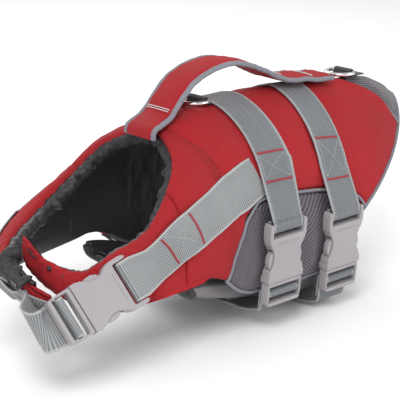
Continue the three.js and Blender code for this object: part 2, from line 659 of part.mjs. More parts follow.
// ---------------------------------------------------------------- D-rings and their tabs
function ring(pivot) {
  const half = ringInnerWidth / 2 + ringWire / 2;
  const reach = ringReach + ringWire;
  const corner = 3;
  const path = [
    ...range(-half + corner, half - corner, 2).map((y) => [0, y]),
    [-corner * 0.3, half - corner * 0.3], [-corner, half],
    ...range(0.15, 0.85, 8).map((t) => {
      const a = Math.PI * (0.5 - t);
      return [-(reach - half) - half * Math.cos(a), half * Math.sin(a)];
    }),
    [-corner, -half], [-corner * 0.3, -half + corner * 0.3],
  ];
  const rings = path.map(([x, y], i) => {
    const [x0, y0] = path[(i + path.length - 1) % path.length];
    const [x1, y1] = path[(i + 1) % path.length];
    const side = vec(y1 - y0, x0 - x1, 0).normalize();
    return range(0, 2 * Math.PI, 8).slice(1).map((a) =>
      vec(x, y, 0)
        .addScaledVector(side, (ringWire / 2) * Math.cos(a))
        .add(vec(0, 0, (ringWire / 2) * Math.sin(a)))
        .add(pivot),
    );
  });
  return loft(rings, true);
}
function tab(pivot, floorZ) {
  const radius = ringWire / 2 + 0.4 + webbingThickness / 2;
  const down = floorZ - pivot.z + webbingThickness / 2;
  const path = [
    [radius + 4.5, down], [radius + 1.2, down + 0.4],
    ...range(0, Math.PI, 8).map((a) => [radius * Math.cos(a), radius * Math.sin(a)]),
    [-radius - 1.2, down + 0.4], [-radius - 4.5, down],
  ];
  const sections = path.map(([x, z], i) => {
    const [x0, z0] = path[Math.max(i - 1, 0)];
    const [x1, z1] = path[Math.min(i + 1, path.length - 1)];
    const normal = vec(z1 - z0, 0, x0 - x1).normalize();
    const start = vec(x, 0, z).add(pivot).addScaledVector(normal, -webbingThickness / 2);
    return inSpace(start, vec(0, 1, 0), normal, tabWidth);
  });
  return webbing(sections, 1);
}
const frontRingX = frontBeltX.ridge - webbingWidth / 2 - 7; // clear of the front belt
const ringPivots = { front: [drawn(frontRingX, 0, 19), 14.6], rear: [drawn(262, 0, 16.4), 12] };
for (const [word, [pivot, floorZ]] of Object.entries(ringPivots)) {
  add(`${word}_ring`, ring(pivot), steel);
  add(`${word}_ring_tab`, tab(pivot, floorZ), blackCloth);
}

const bounds = new THREE.Box3().setFromObject(jacket);
const middle = bounds.getCenter(vec(0, 0, 0));
const origin = vec(middle.x, middle.y, bounds.min.z);
jacket.children.forEach((mesh) => mesh.geometry.translate(-origin.x, -origin.y, -origin.z));
export default jacket;
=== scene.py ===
import math

import bmesh
import bpy
import numpy as np
from mathutils import Matrix, Vector, noise


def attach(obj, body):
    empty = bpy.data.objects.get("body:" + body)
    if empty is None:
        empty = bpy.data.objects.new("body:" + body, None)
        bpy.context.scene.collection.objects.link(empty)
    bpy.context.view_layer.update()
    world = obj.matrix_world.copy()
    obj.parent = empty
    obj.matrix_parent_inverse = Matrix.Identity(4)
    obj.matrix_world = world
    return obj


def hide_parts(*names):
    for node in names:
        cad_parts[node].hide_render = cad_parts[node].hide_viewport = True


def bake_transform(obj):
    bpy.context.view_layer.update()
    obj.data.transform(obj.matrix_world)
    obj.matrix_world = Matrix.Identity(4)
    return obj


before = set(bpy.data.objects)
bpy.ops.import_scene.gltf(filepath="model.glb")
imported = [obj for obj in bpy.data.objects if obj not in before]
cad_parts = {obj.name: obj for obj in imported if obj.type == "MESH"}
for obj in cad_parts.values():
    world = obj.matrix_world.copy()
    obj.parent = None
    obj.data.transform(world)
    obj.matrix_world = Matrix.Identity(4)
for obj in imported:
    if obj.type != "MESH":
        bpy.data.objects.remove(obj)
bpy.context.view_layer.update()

# ------------------------------------------------------------------ camera and studio
ORIGIN = np.array([81.787, -6.492, -191.037])  # of the row frame, in the drawing's millimetres
AIM = np.array([63.4, 0.0, -80.9])
DISTANCE = 1400.0
AZIMUTH, ELEVATION = math.radians(-42.0), math.radians(17.5)
LENS, SENSOR = 131.0, 36.0
SKY_STRENGTH = 0.75
LIGHTS_AIM = (-0.02, 0.0, 0.1)
FLOOR_HALF, FLOOR_DROP = 6, 0.0006


def row(p):
    """Drawing millimetres to the row frame's metres."""
    return (np.asarray(p, float) - ORIGIN) / 1000.0


back = np.array([
    math.sin(AZIMUTH) * math.cos(ELEVATION),
    -math.cos(AZIMUTH) * math.cos(ELEVATION),
    math.sin(ELEVATION),
])
scene = bpy.context.scene
camera_data = bpy.data.cameras.new("camera")
camera_data.lens = LENS
camera_data.sensor_width = SENSOR
camera = bpy.data.objects.new("camera", camera_data)
scene.collection.objects.link(camera)
camera.location = row(AIM + back * DISTANCE)
camera.rotation_euler = Vector(back).to_track_quat("Z", "Y").to_euler()
scene.camera = camera
scene.view_settings.view_transform = "Standard"

world = bpy.data.worlds.new("studio")
scene.world = world
world.use_nodes = True
world.node_tree.nodes["Background"].inputs["Color"].default_value = (1, 1, 1, 1)
world.node_tree.nodes["Background"].inputs["Strength"].default_value = SKY_STRENGTH


def area_light(name, at, size, power):
    data = bpy.data.lights.new(name, "AREA")
    data.shape = "DISK"
    data.size = size
    data.energy = power
    light = bpy.data.objects.new(name, data)
    scene.collection.objects.link(light)
    light.location = at
    light.rotation_euler = (Vector(at) - Vector(LIGHTS_AIM)).to_track_quat("Z", "Y").to_euler()


area_light("key", (-1.1, -0.9, 1.5), 0.9, 20)
area_light("fill", (0.9, -1.5, 0.7), 1.2, 9)
area_light("rim", (0.4, 1.4, 1.2), 0.8, 10)

floor = bpy.data.objects.new("floor", bpy.data.meshes.new("floor"))
FLOOR_CORNERS = [(x * FLOOR_HALF, y * FLOOR_HALF, 0) for x, y in ((-1, -1), (1, -1), (1, 1), (-1, 1))]
floor.data.from_pydata(FLOOR_CORNERS, [], [(0, 1, 2, 3)])
floor.location = (0, 0, -FLOOR_DROP)
scene.collection.objects.link(floor)


# ------------------------------------------------------------------ materials
def material(name, rough, metal=0.0, sheen=0.0):
    """A new material, its node tree and its shader."""
    m = bpy.data.materials.new(name)
    m.use_nodes = True
    tree = m.node_tree
    shader = tree.nodes["Principled BSDF"]
    shader.inputs["Roughness"].default_value = rough
    shader.inputs["Metallic"].default_value = metal
    shader.inputs["Sheen Weight"].default_value = sheen
    shader.inputs["Sheen Roughness"].default_value = 0.4
    return m, tree, shader


def feed(tree, socket, value):
    """Links value to the socket if it is another node's output, or else sets it."""
    if hasattr(value, "links"):
        tree.links.new(value, socket)
    else:
        socket.default_value = value


def node(tree, kind, inputs=None, **settings):
    n = tree.nodes.new(kind)
    for key, value in settings.items():
        setattr(n, key, value)
    for key, value in (inputs or {}).items():
        feed(tree, n.inputs[key], value)
    return n


def maths(tree, operation, a, b=0.0, c=0.0):
    n = node(tree, "ShaderNodeMath", operation=operation)
    for i, value in enumerate((a, b, c)):
        feed(tree, n.inputs[i], value)
    return n.outputs[0]


def mixed(tree, factor, a, b):
    """A mix of two colours. Sockets 0, 6 and 7 are a Mix node's factor and its colours."""
    n = node(tree, "ShaderNodeMix", data_type="RGBA")
    for i, value in ((0, factor), (6, a), (7, b)):
        feed(tree, n.inputs[i], (*value, 1) if isinstance(value, tuple) else value)
    return n.outputs[2]


def uv_mm(tree):
    """u and v in millimetres."""
    coords = node(tree, "ShaderNodeUVMap", uv_map="cloth")
    parts = node(tree, "ShaderNodeSeparateXYZ", {"Vector": coords.outputs[0]})
    return tuple(maths(tree, "MULTIPLY", parts.outputs[i], 1000.0) for i in (0, 1))


def noise_at(tree, scale, detail=3.0, rough=0.5):
    coords = node(tree, "ShaderNodeTexCoord")
    return node(
        tree, "ShaderNodeTexNoise",
        {"Vector": coords.outputs["Object"], "Scale": scale, "Detail": detail, "Roughness": rough},
    ).outputs["Fac"]


def ripple(tree, value, pitch):
    """0 to 1 and back over each pitch of value."""
    turned = maths(tree, "MULTIPLY", value, 2 * math.pi / pitch)
    return maths(tree, "MULTIPLY_ADD", maths(tree, "SINE", turned), 0.5, 0.5)


def bump(tree, shader, height, distance):
    b = node(tree, "ShaderNodeBump", {"Height": height, "Distance": distance})
    tree.links.new(b.outputs[0], shader.inputs["Normal"])


def cloth(name, light, dark, pitch, rough=0.75, sheen=0.25, depth=0.00012, slant=1.0, crease=0.0006):
    """Woven cloth: two slanted sets of yarns, with slight variation, wear and creases."""
    m, tree, shader = material(name, rough, 0.0, sheen)
    u, v = uv_mm(tree)
    one = ripple(tree, maths(tree, "MULTIPLY_ADD", v, slant, u), pitch)
    two = ripple(tree, maths(tree, "MULTIPLY_ADD", v, -slant * 0.6, u), pitch * 1.35)
    weave = maths(tree, "MAXIMUM", one, maths(tree, "MULTIPLY", two, 0.9))
    broad = noise_at(tree, 14, 4)
    fine = noise_at(tree, 900, 2)
    shade = maths(tree, "MULTIPLY_ADD", weave, 0.55, maths(tree, "MULTIPLY", broad, 0.5))
    shade = maths(tree, "MULTIPLY_ADD", fine, 0.25, maths(tree, "SUBTRACT", shade, 0.12))
    tree.links.new(mixed(tree, shade, dark, light), shader.inputs["Base Color"])
    creases = noise_at(tree, 55, 5, 0.6)
    height = maths(tree, "MULTIPLY_ADD", creases, crease / depth, weave)
    bump(tree, shader, height, depth)
    tree.links.new(maths(tree, "MULTIPLY_ADD", broad, 0.25, rough - 0.12), shader.inputs["Roughness"])
    return m


RED = cloth("red_oxford", (0.43, 0.006, 0.012), (0.13, 0.001, 0.003), 1.7, 0.86, 0.0, 0.00022)
BLACK = cloth("black_lining", (0.022, 0.021, 0.026), (0.004, 0.004, 0.006), 0.9, 0.5, 0.04, 0.00005,
              crease=0.0005)
BELLY = cloth("belly_cloth", (0.25, 0.235, 0.25), (0.11, 0.103, 0.113), 1.1, 0.75, 0.05)
PIPING = cloth("grey_piping", (0.24, 0.24, 0.275), (0.10, 0.10, 0.12), 0.8, 0.7, 0.05, 0.0001, 0.5)


def spacer_mesh(name):
    """3-D mesh: diamond holes between slanted yarns, with painted shade in the holes."""
    m, tree, shader = material(name, 0.7, 0.0, 0.25)
    u, v = uv_mm(tree)
    slant, pitch = 0.62, 3.4
    a, b = (ripple(tree, maths(tree, "MULTIPLY_ADD", v, k, u), pitch) for k in (slant, -slant))
    holes = maths(tree, "MULTIPLY", maths(tree, "MULTIPLY", a, b), 2.0)
    solid = maths(tree, "SUBTRACT", 1.0, maths(tree, "SMOOTH_MIN", holes, 1.0, 0.2))
    broad = noise_at(tree, 12, 3)
    light = mixed(tree, broad, (0.10, 0.085, 0.105), (0.17, 0.148, 0.175))
    # painted shade: the holes between the yarns are coloured near black, standing for the shade inside the mesh
    tree.links.new(mixed(tree, solid, (0.014, 0.011, 0.016), light), shader.inputs["Base Color"])
    bump(tree, shader, solid, 0.0005)
    return m


MESH = spacer_mesh("spacer_mesh")


def webbing_material(name, light, dark, edge, rib=1.15, half=0.019, slant=0.0):
    """Woven webbing: ribs across, yarns along, paler selvedges."""
    m, tree, shader = material(name, 0.68, 0.0, 0.2)
    u, v = uv_mm(tree)
    zigzag = maths(tree, "PINGPONG", u, 4.0)
    ribs = ripple(tree, maths(tree, "MULTIPLY_ADD", zigzag, slant, v), rib)
    yarns = ripple(tree, u, 1.7)
    weave = maths(tree, "MULTIPLY", ribs, maths(tree, "MULTIPLY_ADD", yarns, 0.5, 0.5))
    broad = noise_at(tree, 25, 4)
    shade = maths(tree, "MULTIPLY_ADD", weave, 0.75, maths(tree, "MULTIPLY", broad, 0.3))
    body = mixed(tree, shade, dark, light)
    off = maths(tree, "ABSOLUTE", u)
    selvedge_width = 2.2
    selvedge = maths(tree, "GREATER_THAN", off, half * 1000 - selvedge_width)
    colour = mixed(tree, maths(tree, "MULTIPLY", selvedge, 0.6), body, edge)
    tree.links.new(colour, shader.inputs["Base Color"])
    fine = noise_at(tree, 1400, 2)
    bump(tree, shader, maths(tree, "MULTIPLY_ADD", fine, 0.3, weave), 0.00035)
    return m


WEBBING = webbing_material(
    "webbing", (0.27, 0.285, 0.30), (0.055, 0.062, 0.072), (0.40, 0.41, 0.41), 1.9, 0.019, 0.8)
PALE_WEBBING = webbing_material(
    "pale_webbing", (0.40, 0.41, 0.415), (0.085, 0.092, 0.10), (0.46, 0.47, 0.47), 2.0)
BLACK_WEBBING = webbing_material(
    "black_webbing", (0.05, 0.05, 0.055), (0.012, 0.012, 0.014), (0.05, 0.05, 0.05), 1.1, 0.011)


def thread(name, colour):
    m, tree, shader = material(name, 0.55, 0.0, 0.3)
    grain = noise_at(tree, 1800, 2)
    tree.links.new(mixed(tree, grain, tuple(c * 0.6 for c in colour), colour), shader.inputs["Base Color"])
    bump(tree, shader, grain, 0.0001)
    return m


RED_THREAD = thread("red_thread", (0.40, 0.02, 0.035))
WHITE_THREAD = thread("white_thread", (0.75, 0.74, 0.72))
GREY_THREAD = thread("grey_thread", (0.42, 0.43, 0.44))


def plastic(name, light, dark):
    m, tree, shader = material(name, 0.42)
    broad = noise_at(tree, 30, 4)
    fine = noise_at(tree, 2600, 3, 0.7)
    tree.links.new(mixed(tree, broad, dark, light), shader.inputs["Base Color"])
    tree.links.new(maths(tree, "MULTIPLY_ADD", broad, 0.14, 0.36), shader.inputs["Roughness"])
    bump(tree, shader, fine, 0.00003)
    shader.inputs["Subsurface Weight"].default_value = 0.04
    shader.inputs["Subsurface Radius"].default_value = (0.002, 0.002, 0.002)
    return m


PLASTIC = plastic("buckle_plastic", (0.335, 0.315, 0.33), (0.295, 0.277, 0.291))


def steel(name):
    m, tree, shader = material(name, 0.2, 1.0)
    broad = noise_at(tree, 60, 5, 0.7)
    scratch = noise_at(tree, 700, 4)
    tree.links.new(mixed(tree, broad, (0.62, 0.62, 0.61), (0.80, 0.80, 0.79)), shader.inputs["Base Color"])
    tree.links.new(maths(tree, "MULTIPLY_ADD", scratch, 0.22, 0.1), shader.inputs["Roughness"])
    bump(tree, shader, scratch, 0.00002)
    return m


STEEL = steel("ring_steel")
floor_material, floor_tree, floor_shader = material("pale_floor", 0.9)
floor_shade = noise_at(floor_tree, 0.8, 2)
floor_tree.links.new(
    mixed(floor_tree, floor_shade, (0.93, 0.93, 0.93), (0.95, 0.95, 0.95)), floor_shader.inputs["Base Color"]
)
floor.data.materials.append(floor_material)

# ------------------------------------------------------------------ the body's surface, as the CAD draws it
NECK = 8
SADDLE = [
    [[-36, -62, -38], [-34, -90, -90], [-34, -94, -118]],
    [[-16, -48, -17], [-4, -91, -90], [-8, -92, -118]],
    [[-4, -24, -4], [16, -91, -90], [14, -90, -127]],
    [[0, 0, 2], [32, -91, -90], [28, -87, -138]],
    [[28, 0, 12], [48, -91, -92], [46, -84, -147]],
    [[60, 0, 14], [68, -91, -94], [66, -82, -150]],
    [[98, 0, 16], [92, -91, -96], [90, -81, -152]],
    [[150, 0, 16], [140, -90, -98], [135, -80, -153]],
    [[205, 0, 14], [163, -89, -101], [155, -79, -153]],
    [[255, 0, 12], [178, -89, -103], [167, -78, -153]],
    [[300, 0, 4], [186, -88, -105], [174, -78, -152]],
    [[338, 0, -15], [192, -88, -106], [179, -78, -150]],
]
WINGS = {
    "left": [
        [[-143, 2, -70], [-144, 3, -89], [-130, 3, -107]],
        [[-140, -24, -83], [-143, -31, -99], [-128, -34, -117]],
        [[-123, -53, -92], [-129, -60, -108], [-118, -64, -127]],
        [[-95, -62, -79], [-102, -75, -102], [-97, -82, -123]],
        [[-64, -69, -64], [-72, -87, -95], [-72, -92, -120]],
    ],
    "right": [
        [[-153, 50, -111], [-152, 51, -118], [-139, 53, -127]],
        [[-164, 30, -100], [-163, 31, -109], [-144, 33, -120]],
        [[-163, 2, -87], [-163, 2, -98], [-144, 2, -115]],
        [[-138, -28, -79], [-146, -40, -98], [-135, -46, -119]],
        [[-86, -55, -66], [-100, -79, -96], [-100, -87, -121]],
    ],
}
GUIDES = {word: np.array(WINGS[word] + SADDLE, float) for word in WINGS}
TAIL = len(GUIDES["left"]) - 1
SIDE = {"left": -1.0, "right": 1.0}


def smooth(a, b, x):
    t = np.clip((np.asarray(x, float) - a) / (b - a), 0, 1)
    return t * t * (3 - 2 * t)


def catmull(p0, p1, p2, p3, t):
    return 0.5 * (
        p0 * (-t + 2 * t**2 - t**3) + p1 * (2 - 5 * t**2 + 3 * t**3)
        + p2 * (t + 4 * t**2 - 3 * t**3) + p3 * (-(t**2) + t**3)
    )


def guide_at(word, which, s):
    stops = GUIDES[word][:, which]
    s = np.clip(s, 0, TAIL - 1e-9)
    i = np.floor(s).astype(int)
    p1, p2 = stops[i], stops[i + 1]
    before = np.where((i > 0)[..., None], stops[np.maximum(i - 1, 0)], 2 * p1 - p2)
    after = np.where((i + 2 <= TAIL)[..., None], stops[np.minimum(i + 2, TAIL)], 2 * p2 - p1)
    if which == 0:
        before = np.where((i == NECK)[..., None], 2 * p1 - p2, before)
        after = np.where((i + 1 == NECK)[..., None], p1 * [1, -1, 1], after)
    return catmull(before, p1, p2, after, (s - i)[..., None])


def surface(word, s, v):
    """Points of the surface; past the ridge (v < 0) it goes on down the other side."""
    s, v = np.broadcast_arrays(np.asarray(s, float), np.asarray(v, float))
    top, wide, low = (guide_at(word, k, s) for k in range(3))
    a = np.abs(v)
    up = np.minimum(a, 1) * math.pi / 2
    sine, rest = np.sin(up), 1 - np.cos(up)
    across = 1 + (0.32 - 1) * smooth(NECK + 2, TAIL, s)
    drop = 0.26 * smooth(NECK + 1, TAIL, s)
    blend = np.stack([rest + (sine - rest) * across, sine, rest + (sine - rest) * drop], -1)
    upper = top + (wide - top) * blend
    down = np.clip(a - 1, 0, None) * math.pi / 2
    inward = (1 - np.cos(down * 0.9)) / (1 - math.cos(math.pi / 2 * 0.9))
    lower = wide + (low - wide) * np.stack([inward, inward, np.sin(down)], -1)
    p = np.where((a <= 1)[..., None], upper, lower)
    p[..., 1] *= -SIDE[word] * np.where(v < 0, -1, 1)
    return p


STEP = 1e-3


def slopes(word, s, v):
    s, v = np.broadcast_arrays(np.asarray(s, float), np.asarray(v, float))
    s0 = np.clip(s, STEP, TAIL - 2 * STEP)
    v0 = np.clip(v, 2 * STEP - 2, 2 - 2 * STEP)
    along_s = (surface(word, s0 + STEP, v) - surface(word, s0 - STEP, v)) / (2 * STEP)
    along_v = (surface(word, s, v0 + STEP) - surface(word, s, v0 - STEP)) / (2 * STEP)
    return along_s, along_v


def unit(a):
    return a / np.maximum(np.linalg.norm(a, axis=-1, keepdims=True), 1e-9)


def outward(word, s, v):
    s, v = np.broadcast_arrays(np.asarray(s, float), np.asarray(v, float))
    rim = np.where((s < NECK) & (np.abs(v) < 0.01), 0.01, v)
    along_s, along_v = slopes(word, s, rim)
    return unit(np.cross(along_s, along_v) * SIDE[word])


def above(word, s, v, off):
    return surface(word, s, v) + outward(word, s, v) * np.asarray(off, float)[..., None]


def station_at(x, v):
    """The station where the line of v passes x."""
    low, high = NECK - 3.0, float(TAIL)
    for _ in range(40):
        mid = (low + high) / 2
        if surface("left", mid, abs(v))[0] < x:
            low = mid
        else:
            high = mid
    return (low + high) / 2


COVER, GAP, FOAM, LINING = 1.5, 1.65, 7.6, 1.2
FOAM_INNER = -(COVER + GAP + FOAM)
LINING_OUTER = -(COVER + GAP + FOAM + GAP)
WING_SEAM = 5  # the station where a wing is sewn to the saddle


def thinned(s):
    """The share of its thickness that the padding has at a station; a wing's free end is thin."""
    return 0.4 + 0.6 * smooth(0.8, 4, s)


def mesh_object(name, points, faces, mat, uv=None):
    """points are drawing millimetres; uv is one (u, v) in metres per point."""
    mesh = bpy.data.meshes.new(name)
    mesh.from_pydata([tuple(p) for p in row(points)], [], [tuple(int(i) for i in f) for f in faces])
    if uv is not None:
        layer = mesh.uv_layers.new(name="cloth")
        loops = np.zeros(len(mesh.loops), int)
        mesh.loops.foreach_get("vertex_index", loops)
        layer.data.foreach_set("uv", np.asarray(uv, float)[loops].ravel())
    mesh.materials.append(mat)
    o = bpy.data.objects.new(name, mesh)
    scene.collection.objects.link(o)
    edit = bmesh.new()
    edit.from_mesh(mesh)
    bmesh.ops.recalc_face_normals(edit, faces=edit.faces)
    edit.to_mesh(mesh)
    edit.free()
    mesh.polygons.foreach_set("use_smooth", [True] * len(mesh.polygons))
    return o


def closed_grid(outer, inner):
    """Points and quads of a closed sheet from two (n, m, 3) grids."""
    n, m = outer.shape[:2]
    points = np.concatenate([outer.reshape(-1, 3), inner.reshape(-1, 3)])
    at = lambda i, j, face: face * n * m + i * m + j
    faces = []
    for i in range(n - 1):
        for j in range(m - 1):
            faces.append((at(i, j, 0), at(i + 1, j, 0), at(i + 1, j + 1, 0), at(i, j + 1, 0)))
            faces.append((at(i, j, 1), at(i, j + 1, 1), at(i + 1, j + 1, 1), at(i + 1, j, 1)))
    for i in range(n - 1):
        faces.append((at(i, 0, 1), at(i + 1, 0, 1), at(i + 1, 0, 0), at(i, 0, 0)))
        faces.append((at(i, m - 1, 0), at(i + 1, m - 1, 0), at(i + 1, m - 1, 1), at(i, m - 1, 1)))
    for j in range(m - 1):
        faces.append((at(0, j, 0), at(0, j + 1, 0), at(0, j + 1, 1), at(0, j, 1)))
        faces.append((at(n - 1, j + 1, 0), at(n - 1, j, 0), at(n - 1, j, 1), at(n - 1, j + 1, 1)))
    return points, faces


def two_faced(name, top, under, u, v, mat):
    """A closed sheet between two grids, with u and v in millimetres over each."""
    points, faces = closed_grid(top, under)
    uv = np.stack([np.broadcast_to(u, top.shape[:2]), np.broadcast_to(v, top.shape[:2])], -1)
    uv = uv.reshape(-1, 2) / 1000
    return mesh_object(name, points, faces, mat, np.concatenate([uv, uv]))


def ring_faces(count, sides, closed=False):
    """Quads between rings of points in turn, with capped ends unless they close on themselves."""
    faces = []
    for i in range(count if closed else count - 1):
        a, b = i * sides, ((i + 1) % count) * sides
        for j in range(sides):
            k = (j + 1) % sides
            faces.append((a + j, a + k, b + k, b + j))
    if not closed:
        faces.append(tuple(range(sides))[::-1])
        faces.append(tuple((count - 1) * sides + j for j in range(sides)))
    return faces


def dress(o, body, replaces=()):
    if body:
        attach(o, body)
    if replaces:
        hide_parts(*replaces)
    return o


def lengths_along(points, axis):
    d = np.linalg.norm(np.diff(points, axis=axis), axis=-1)
    total = np.cumsum(d, axis=axis)
    pad = [(0, 0), (0, 0)]
    pad[axis] = (1, 0)
    return np.pad(total, pad)


def noise_grid(points, scale, seed, octaves=3):
    flat = points.reshape(-1, 3) * scale
    values = [noise.fractal(Vector(p) + Vector((seed, 0, 0)), 1.0, 2.0, octaves) for p in flat]
    return np.array(values).reshape(points.shape[:-1])


def from_edges(run_s, run_v):
    """The distance of each point of a grid from its nearest edge."""
    across = np.minimum(run_v, run_v[:, -1:] - run_v)
    return np.minimum(across, np.minimum(run_s, run_s[-1:] - run_s))


def tube(name, path, radius, mat, sides=10, closed=False):
    """A round cord through path."""
    path = np.asarray(path, float)
    n = len(path)
    if closed:
        tangent = unit(np.roll(path, -1, 0) - np.roll(path, 1, 0))
    else:
        tangent = unit(np.gradient(path, axis=0))
    normal = np.zeros_like(path)
    previous = np.array([0, 0, 1.0]) if abs(tangent[0][2]) < 0.9 else np.array([0, 1.0, 0])
    for i in range(n):
        previous = unit(previous - (previous @ tangent[i]) * tangent[i])
        normal[i] = previous
    side = np.cross(tangent, normal)
    angles = np.linspace(0, 2 * math.pi, sides, endpoint=False)
    rings = (
        path[:, None]
        + normal[:, None] * (np.cos(angles)[None, :, None] * radius)
        + side[:, None] * (np.sin(angles)[None, :, None] * radius)
    )
    run = np.concatenate([[0], np.cumsum(np.linalg.norm(np.diff(path, axis=0), axis=-1))]) / 1000
    uv = np.stack([np.tile(angles * radius / 1000, n), np.repeat(run, sides)], -1)
    return mesh_object(name, rings.reshape(-1, 3), ring_faces(n, sides, closed), mat, uv)


# ------------------------------------------------------------------ padded panels
BELTS = {"front": (87, 80), "rear": (175, 160)}  # x at the ridge and at the side
RIDGE_HEIGHT, BELT_FALL = 16, 105
ROUND_EDGE, PAD_FILL = 6.0, 0.7


def puff_between_belts(p):
    """How far a panel stands up between the belts, which press it down."""
    flat = np.ones(p.shape[:-1])
    for ridge, side in BELTS.values():
        level = np.clip((RIDGE_HEIGHT - p[..., 2]) / BELT_FALL, 0, 1)
        centre = ridge + (side - ridge) * level
        flat *= smooth(17, 36, np.abs(p[..., 0] - centre))
    return flat


def pad(name, word, s_range, v_low, v_high, outer, mat, counts, replaces, seam_at_top=True,
        puff=2.0, wrinkle=0.5, pucker=0.5, seed=0.0, press=True):
    """A sewn, padded panel: its faces stand apart in the middle and meet at the rounded edges."""
    n, m = counts
    s = np.linspace(*s_range, n)[:, None]
    t = np.linspace(0, 1, m)[None, :]
    low = np.array([v_low(x) for x in s[:, 0]])[:, None]
    high = np.array([v_high(x) for x in s[:, 0]])[:, None]
    v = low + (high - low) * t
    s = np.broadcast_to(s, v.shape)
    base = surface(word, s, v)
    run_s, run_v = lengths_along(base, 0), lengths_along(base, 1)
    from_s = np.minimum(run_s, run_s[-1:] - run_s)
    at_seam = np.abs(s - WING_SEAM) < 1
    from_s = np.where(at_seam, np.maximum(from_s, np.minimum(from_s * 4, ROUND_EDGE)), from_s)
    to_bottom = run_v[:, -1:] - run_v
    no_seam = 40 * smooth(NECK, NECK + 0.6, s)
    from_top = run_v if seam_at_top else np.where(s < NECK, run_v, run_v + no_seam)
    edge = np.minimum(np.minimum(from_top, to_bottom), from_s)
    rounding = np.sqrt(1 - (1 - np.clip(edge / ROUND_EDGE, 0, 1)) ** 2)
    lift = puff * smooth(2, 30, edge)
    if press:
        lift = lift * puff_between_belts(base)
    creases = noise_grid(base * [1, 1, 1.4], 0.035, seed) * wrinkle * 2
    creases += noise_grid(base, 0.11, seed + 9) * wrinkle * 0.6
    gather = np.exp(-edge / 7.0) * smooth(0.5, 2.5, edge)
    beat = np.sin((run_s + run_v) / 2.1 + 3 * noise_grid(base, 0.05, seed + 4))
    creases = creases * smooth(0, 12, edge) + gather * beat * pucker
    thin = thinned(s) * (1 - 0.45 * smooth(1.55, 2, v))
    middle = (outer + FOAM_INNER) / 2 * thin
    half = (outer - FOAM_INNER) / 2 * thin
    normal = outward(word, s, v)
    top = base + normal * (middle + half * rounding + lift + creases)[..., None]
    under = base + normal * (middle - half * rounding + 0.4 * creases)[..., None]
    return dress(two_faced(name, top, under, run_v, run_s, mat), "jacket", replaces)


MESH_EDGE = np.array([
    [7, 2], [7.25, 1.6], [7.5, 1.28], [8, 1.01], [8.5, 0.9], [9.5, 0.8], [10.5, 0.77], [12.5, 0.81], [14, 0.84],
    [16, 0.92],
])


def cover_low(s):
    """v of the saddle cover's lower edge, where the side mesh begins."""
    return float(np.interp(s, MESH_EDGE[:, 0], MESH_EDGE[:, 1]))


TAIL_MESH_FROM, TAIL_MESH_V = 13.5, 0.36


def cover_high(s):
    """v of the saddle cover's upper edge, which parts over the tail."""
    return 0.0 if s <= TAIL_MESH_FROM else TAIL_MESH_V * (s - TAIL_MESH_FROM) / (TAIL - TAIL_MESH_FROM)


def wing_low(s):
    """v of a collar wing's lower edge, which curves up to the rim at its free end."""
    return 0.7 + 1.3 * math.sqrt(1 - (1 - min(s / 1.3, 1.0)) ** 2)


SEAM = 0.008  # of v, between the saddle cover and the side mesh
for k, word in enumerate(("left", "right")):
    pad(f"saddle_pad_{word}", word, (4.99, TAIL), cover_high, cover_low, 0, RED, (190, 84),
        [f"saddle_cover_{word}", f"saddle_foam_{word}"], seam_at_top=False, seed=3 + k)
    pad(f"side_pad_{word}", word, (7.06, TAIL), lambda s: cover_low(s) + SEAM, lambda s: 2.0, -0.6, MESH,
        (120, 44), [f"side_mesh_{word}"], seed=11 + k, puff=2.4, pucker=0.25)
    pad(f"wing_pad_{word}", word, (0.0, 5.0), lambda s: 0.0, wing_low, 0, RED, (120, 46),
        [f"wing_cover_{word}", f"wing_foam_{word}"], seed=21 + k, puff=1.2, wrinkle=0.7, pucker=0.8,
        press=False)


def declare_cloth(o, grid):
    """Measures the flat size of the surface that a sewn-in cloth lies on; the sizes are not used."""
    flat = [round(float(lengths_along(grid, axis).max()) / 1000, 3) for axis in (1, 0)]


def lining(name, word, s_range, counts, replaces, seed):
    """The thin inner cloth of a panel, with folds that fade out towards its edges."""
    n, m = counts
    s = np.broadcast_to(np.linspace(*s_range, n)[:, None], counts)
    span = np.array([min(1.78, wing_low(x) - 0.15) for x in s[:, 0]])[:, None]
    v = 0.03 + (span - 0.03) * np.linspace(0, 1, m)[None, :]
    base = surface(word, s, v)
    run_s, run_v = lengths_along(base, 0), lengths_along(base, 1)
    edge = from_edges(run_s, run_v)
    depth = 1.0 if s_range[0] > WING_SEAM - 1 else 1.8
    folds = np.abs(noise_grid(base * [1, 1, 0.5], 0.05, seed, 4)) * depth * smooth(1, 14, edge)
    off = LINING_OUTER * thinned(s) - folds
    if s_range[0] >= WING_SEAM:
        off = off + 0.3 * smooth(0, 1, edge)
    normal = outward(word, s, v)
    top, under = base + normal * off[..., None], base + normal * (off - LINING)[..., None]
    o = dress(two_faced(name, top, under, run_v, run_s, BLACK), "jacket", replaces)
    declare_cloth(o, base + normal * (LINING_OUTER * thinned(s))[..., None])


for k, word in enumerate(("left", "right")):
    lining(f"saddle_inside_{word}", word, (4.92, TAIL - 0.02), (150, 60), [f"saddle_lining_{word}"], 31 + k)
    start = 0.0 if word == "left" else 0.7
    lining(f"wing_inside_{word}", word, (start, 5.04), (90, 36), [f"wing_lining_{word}"], 41 + k)

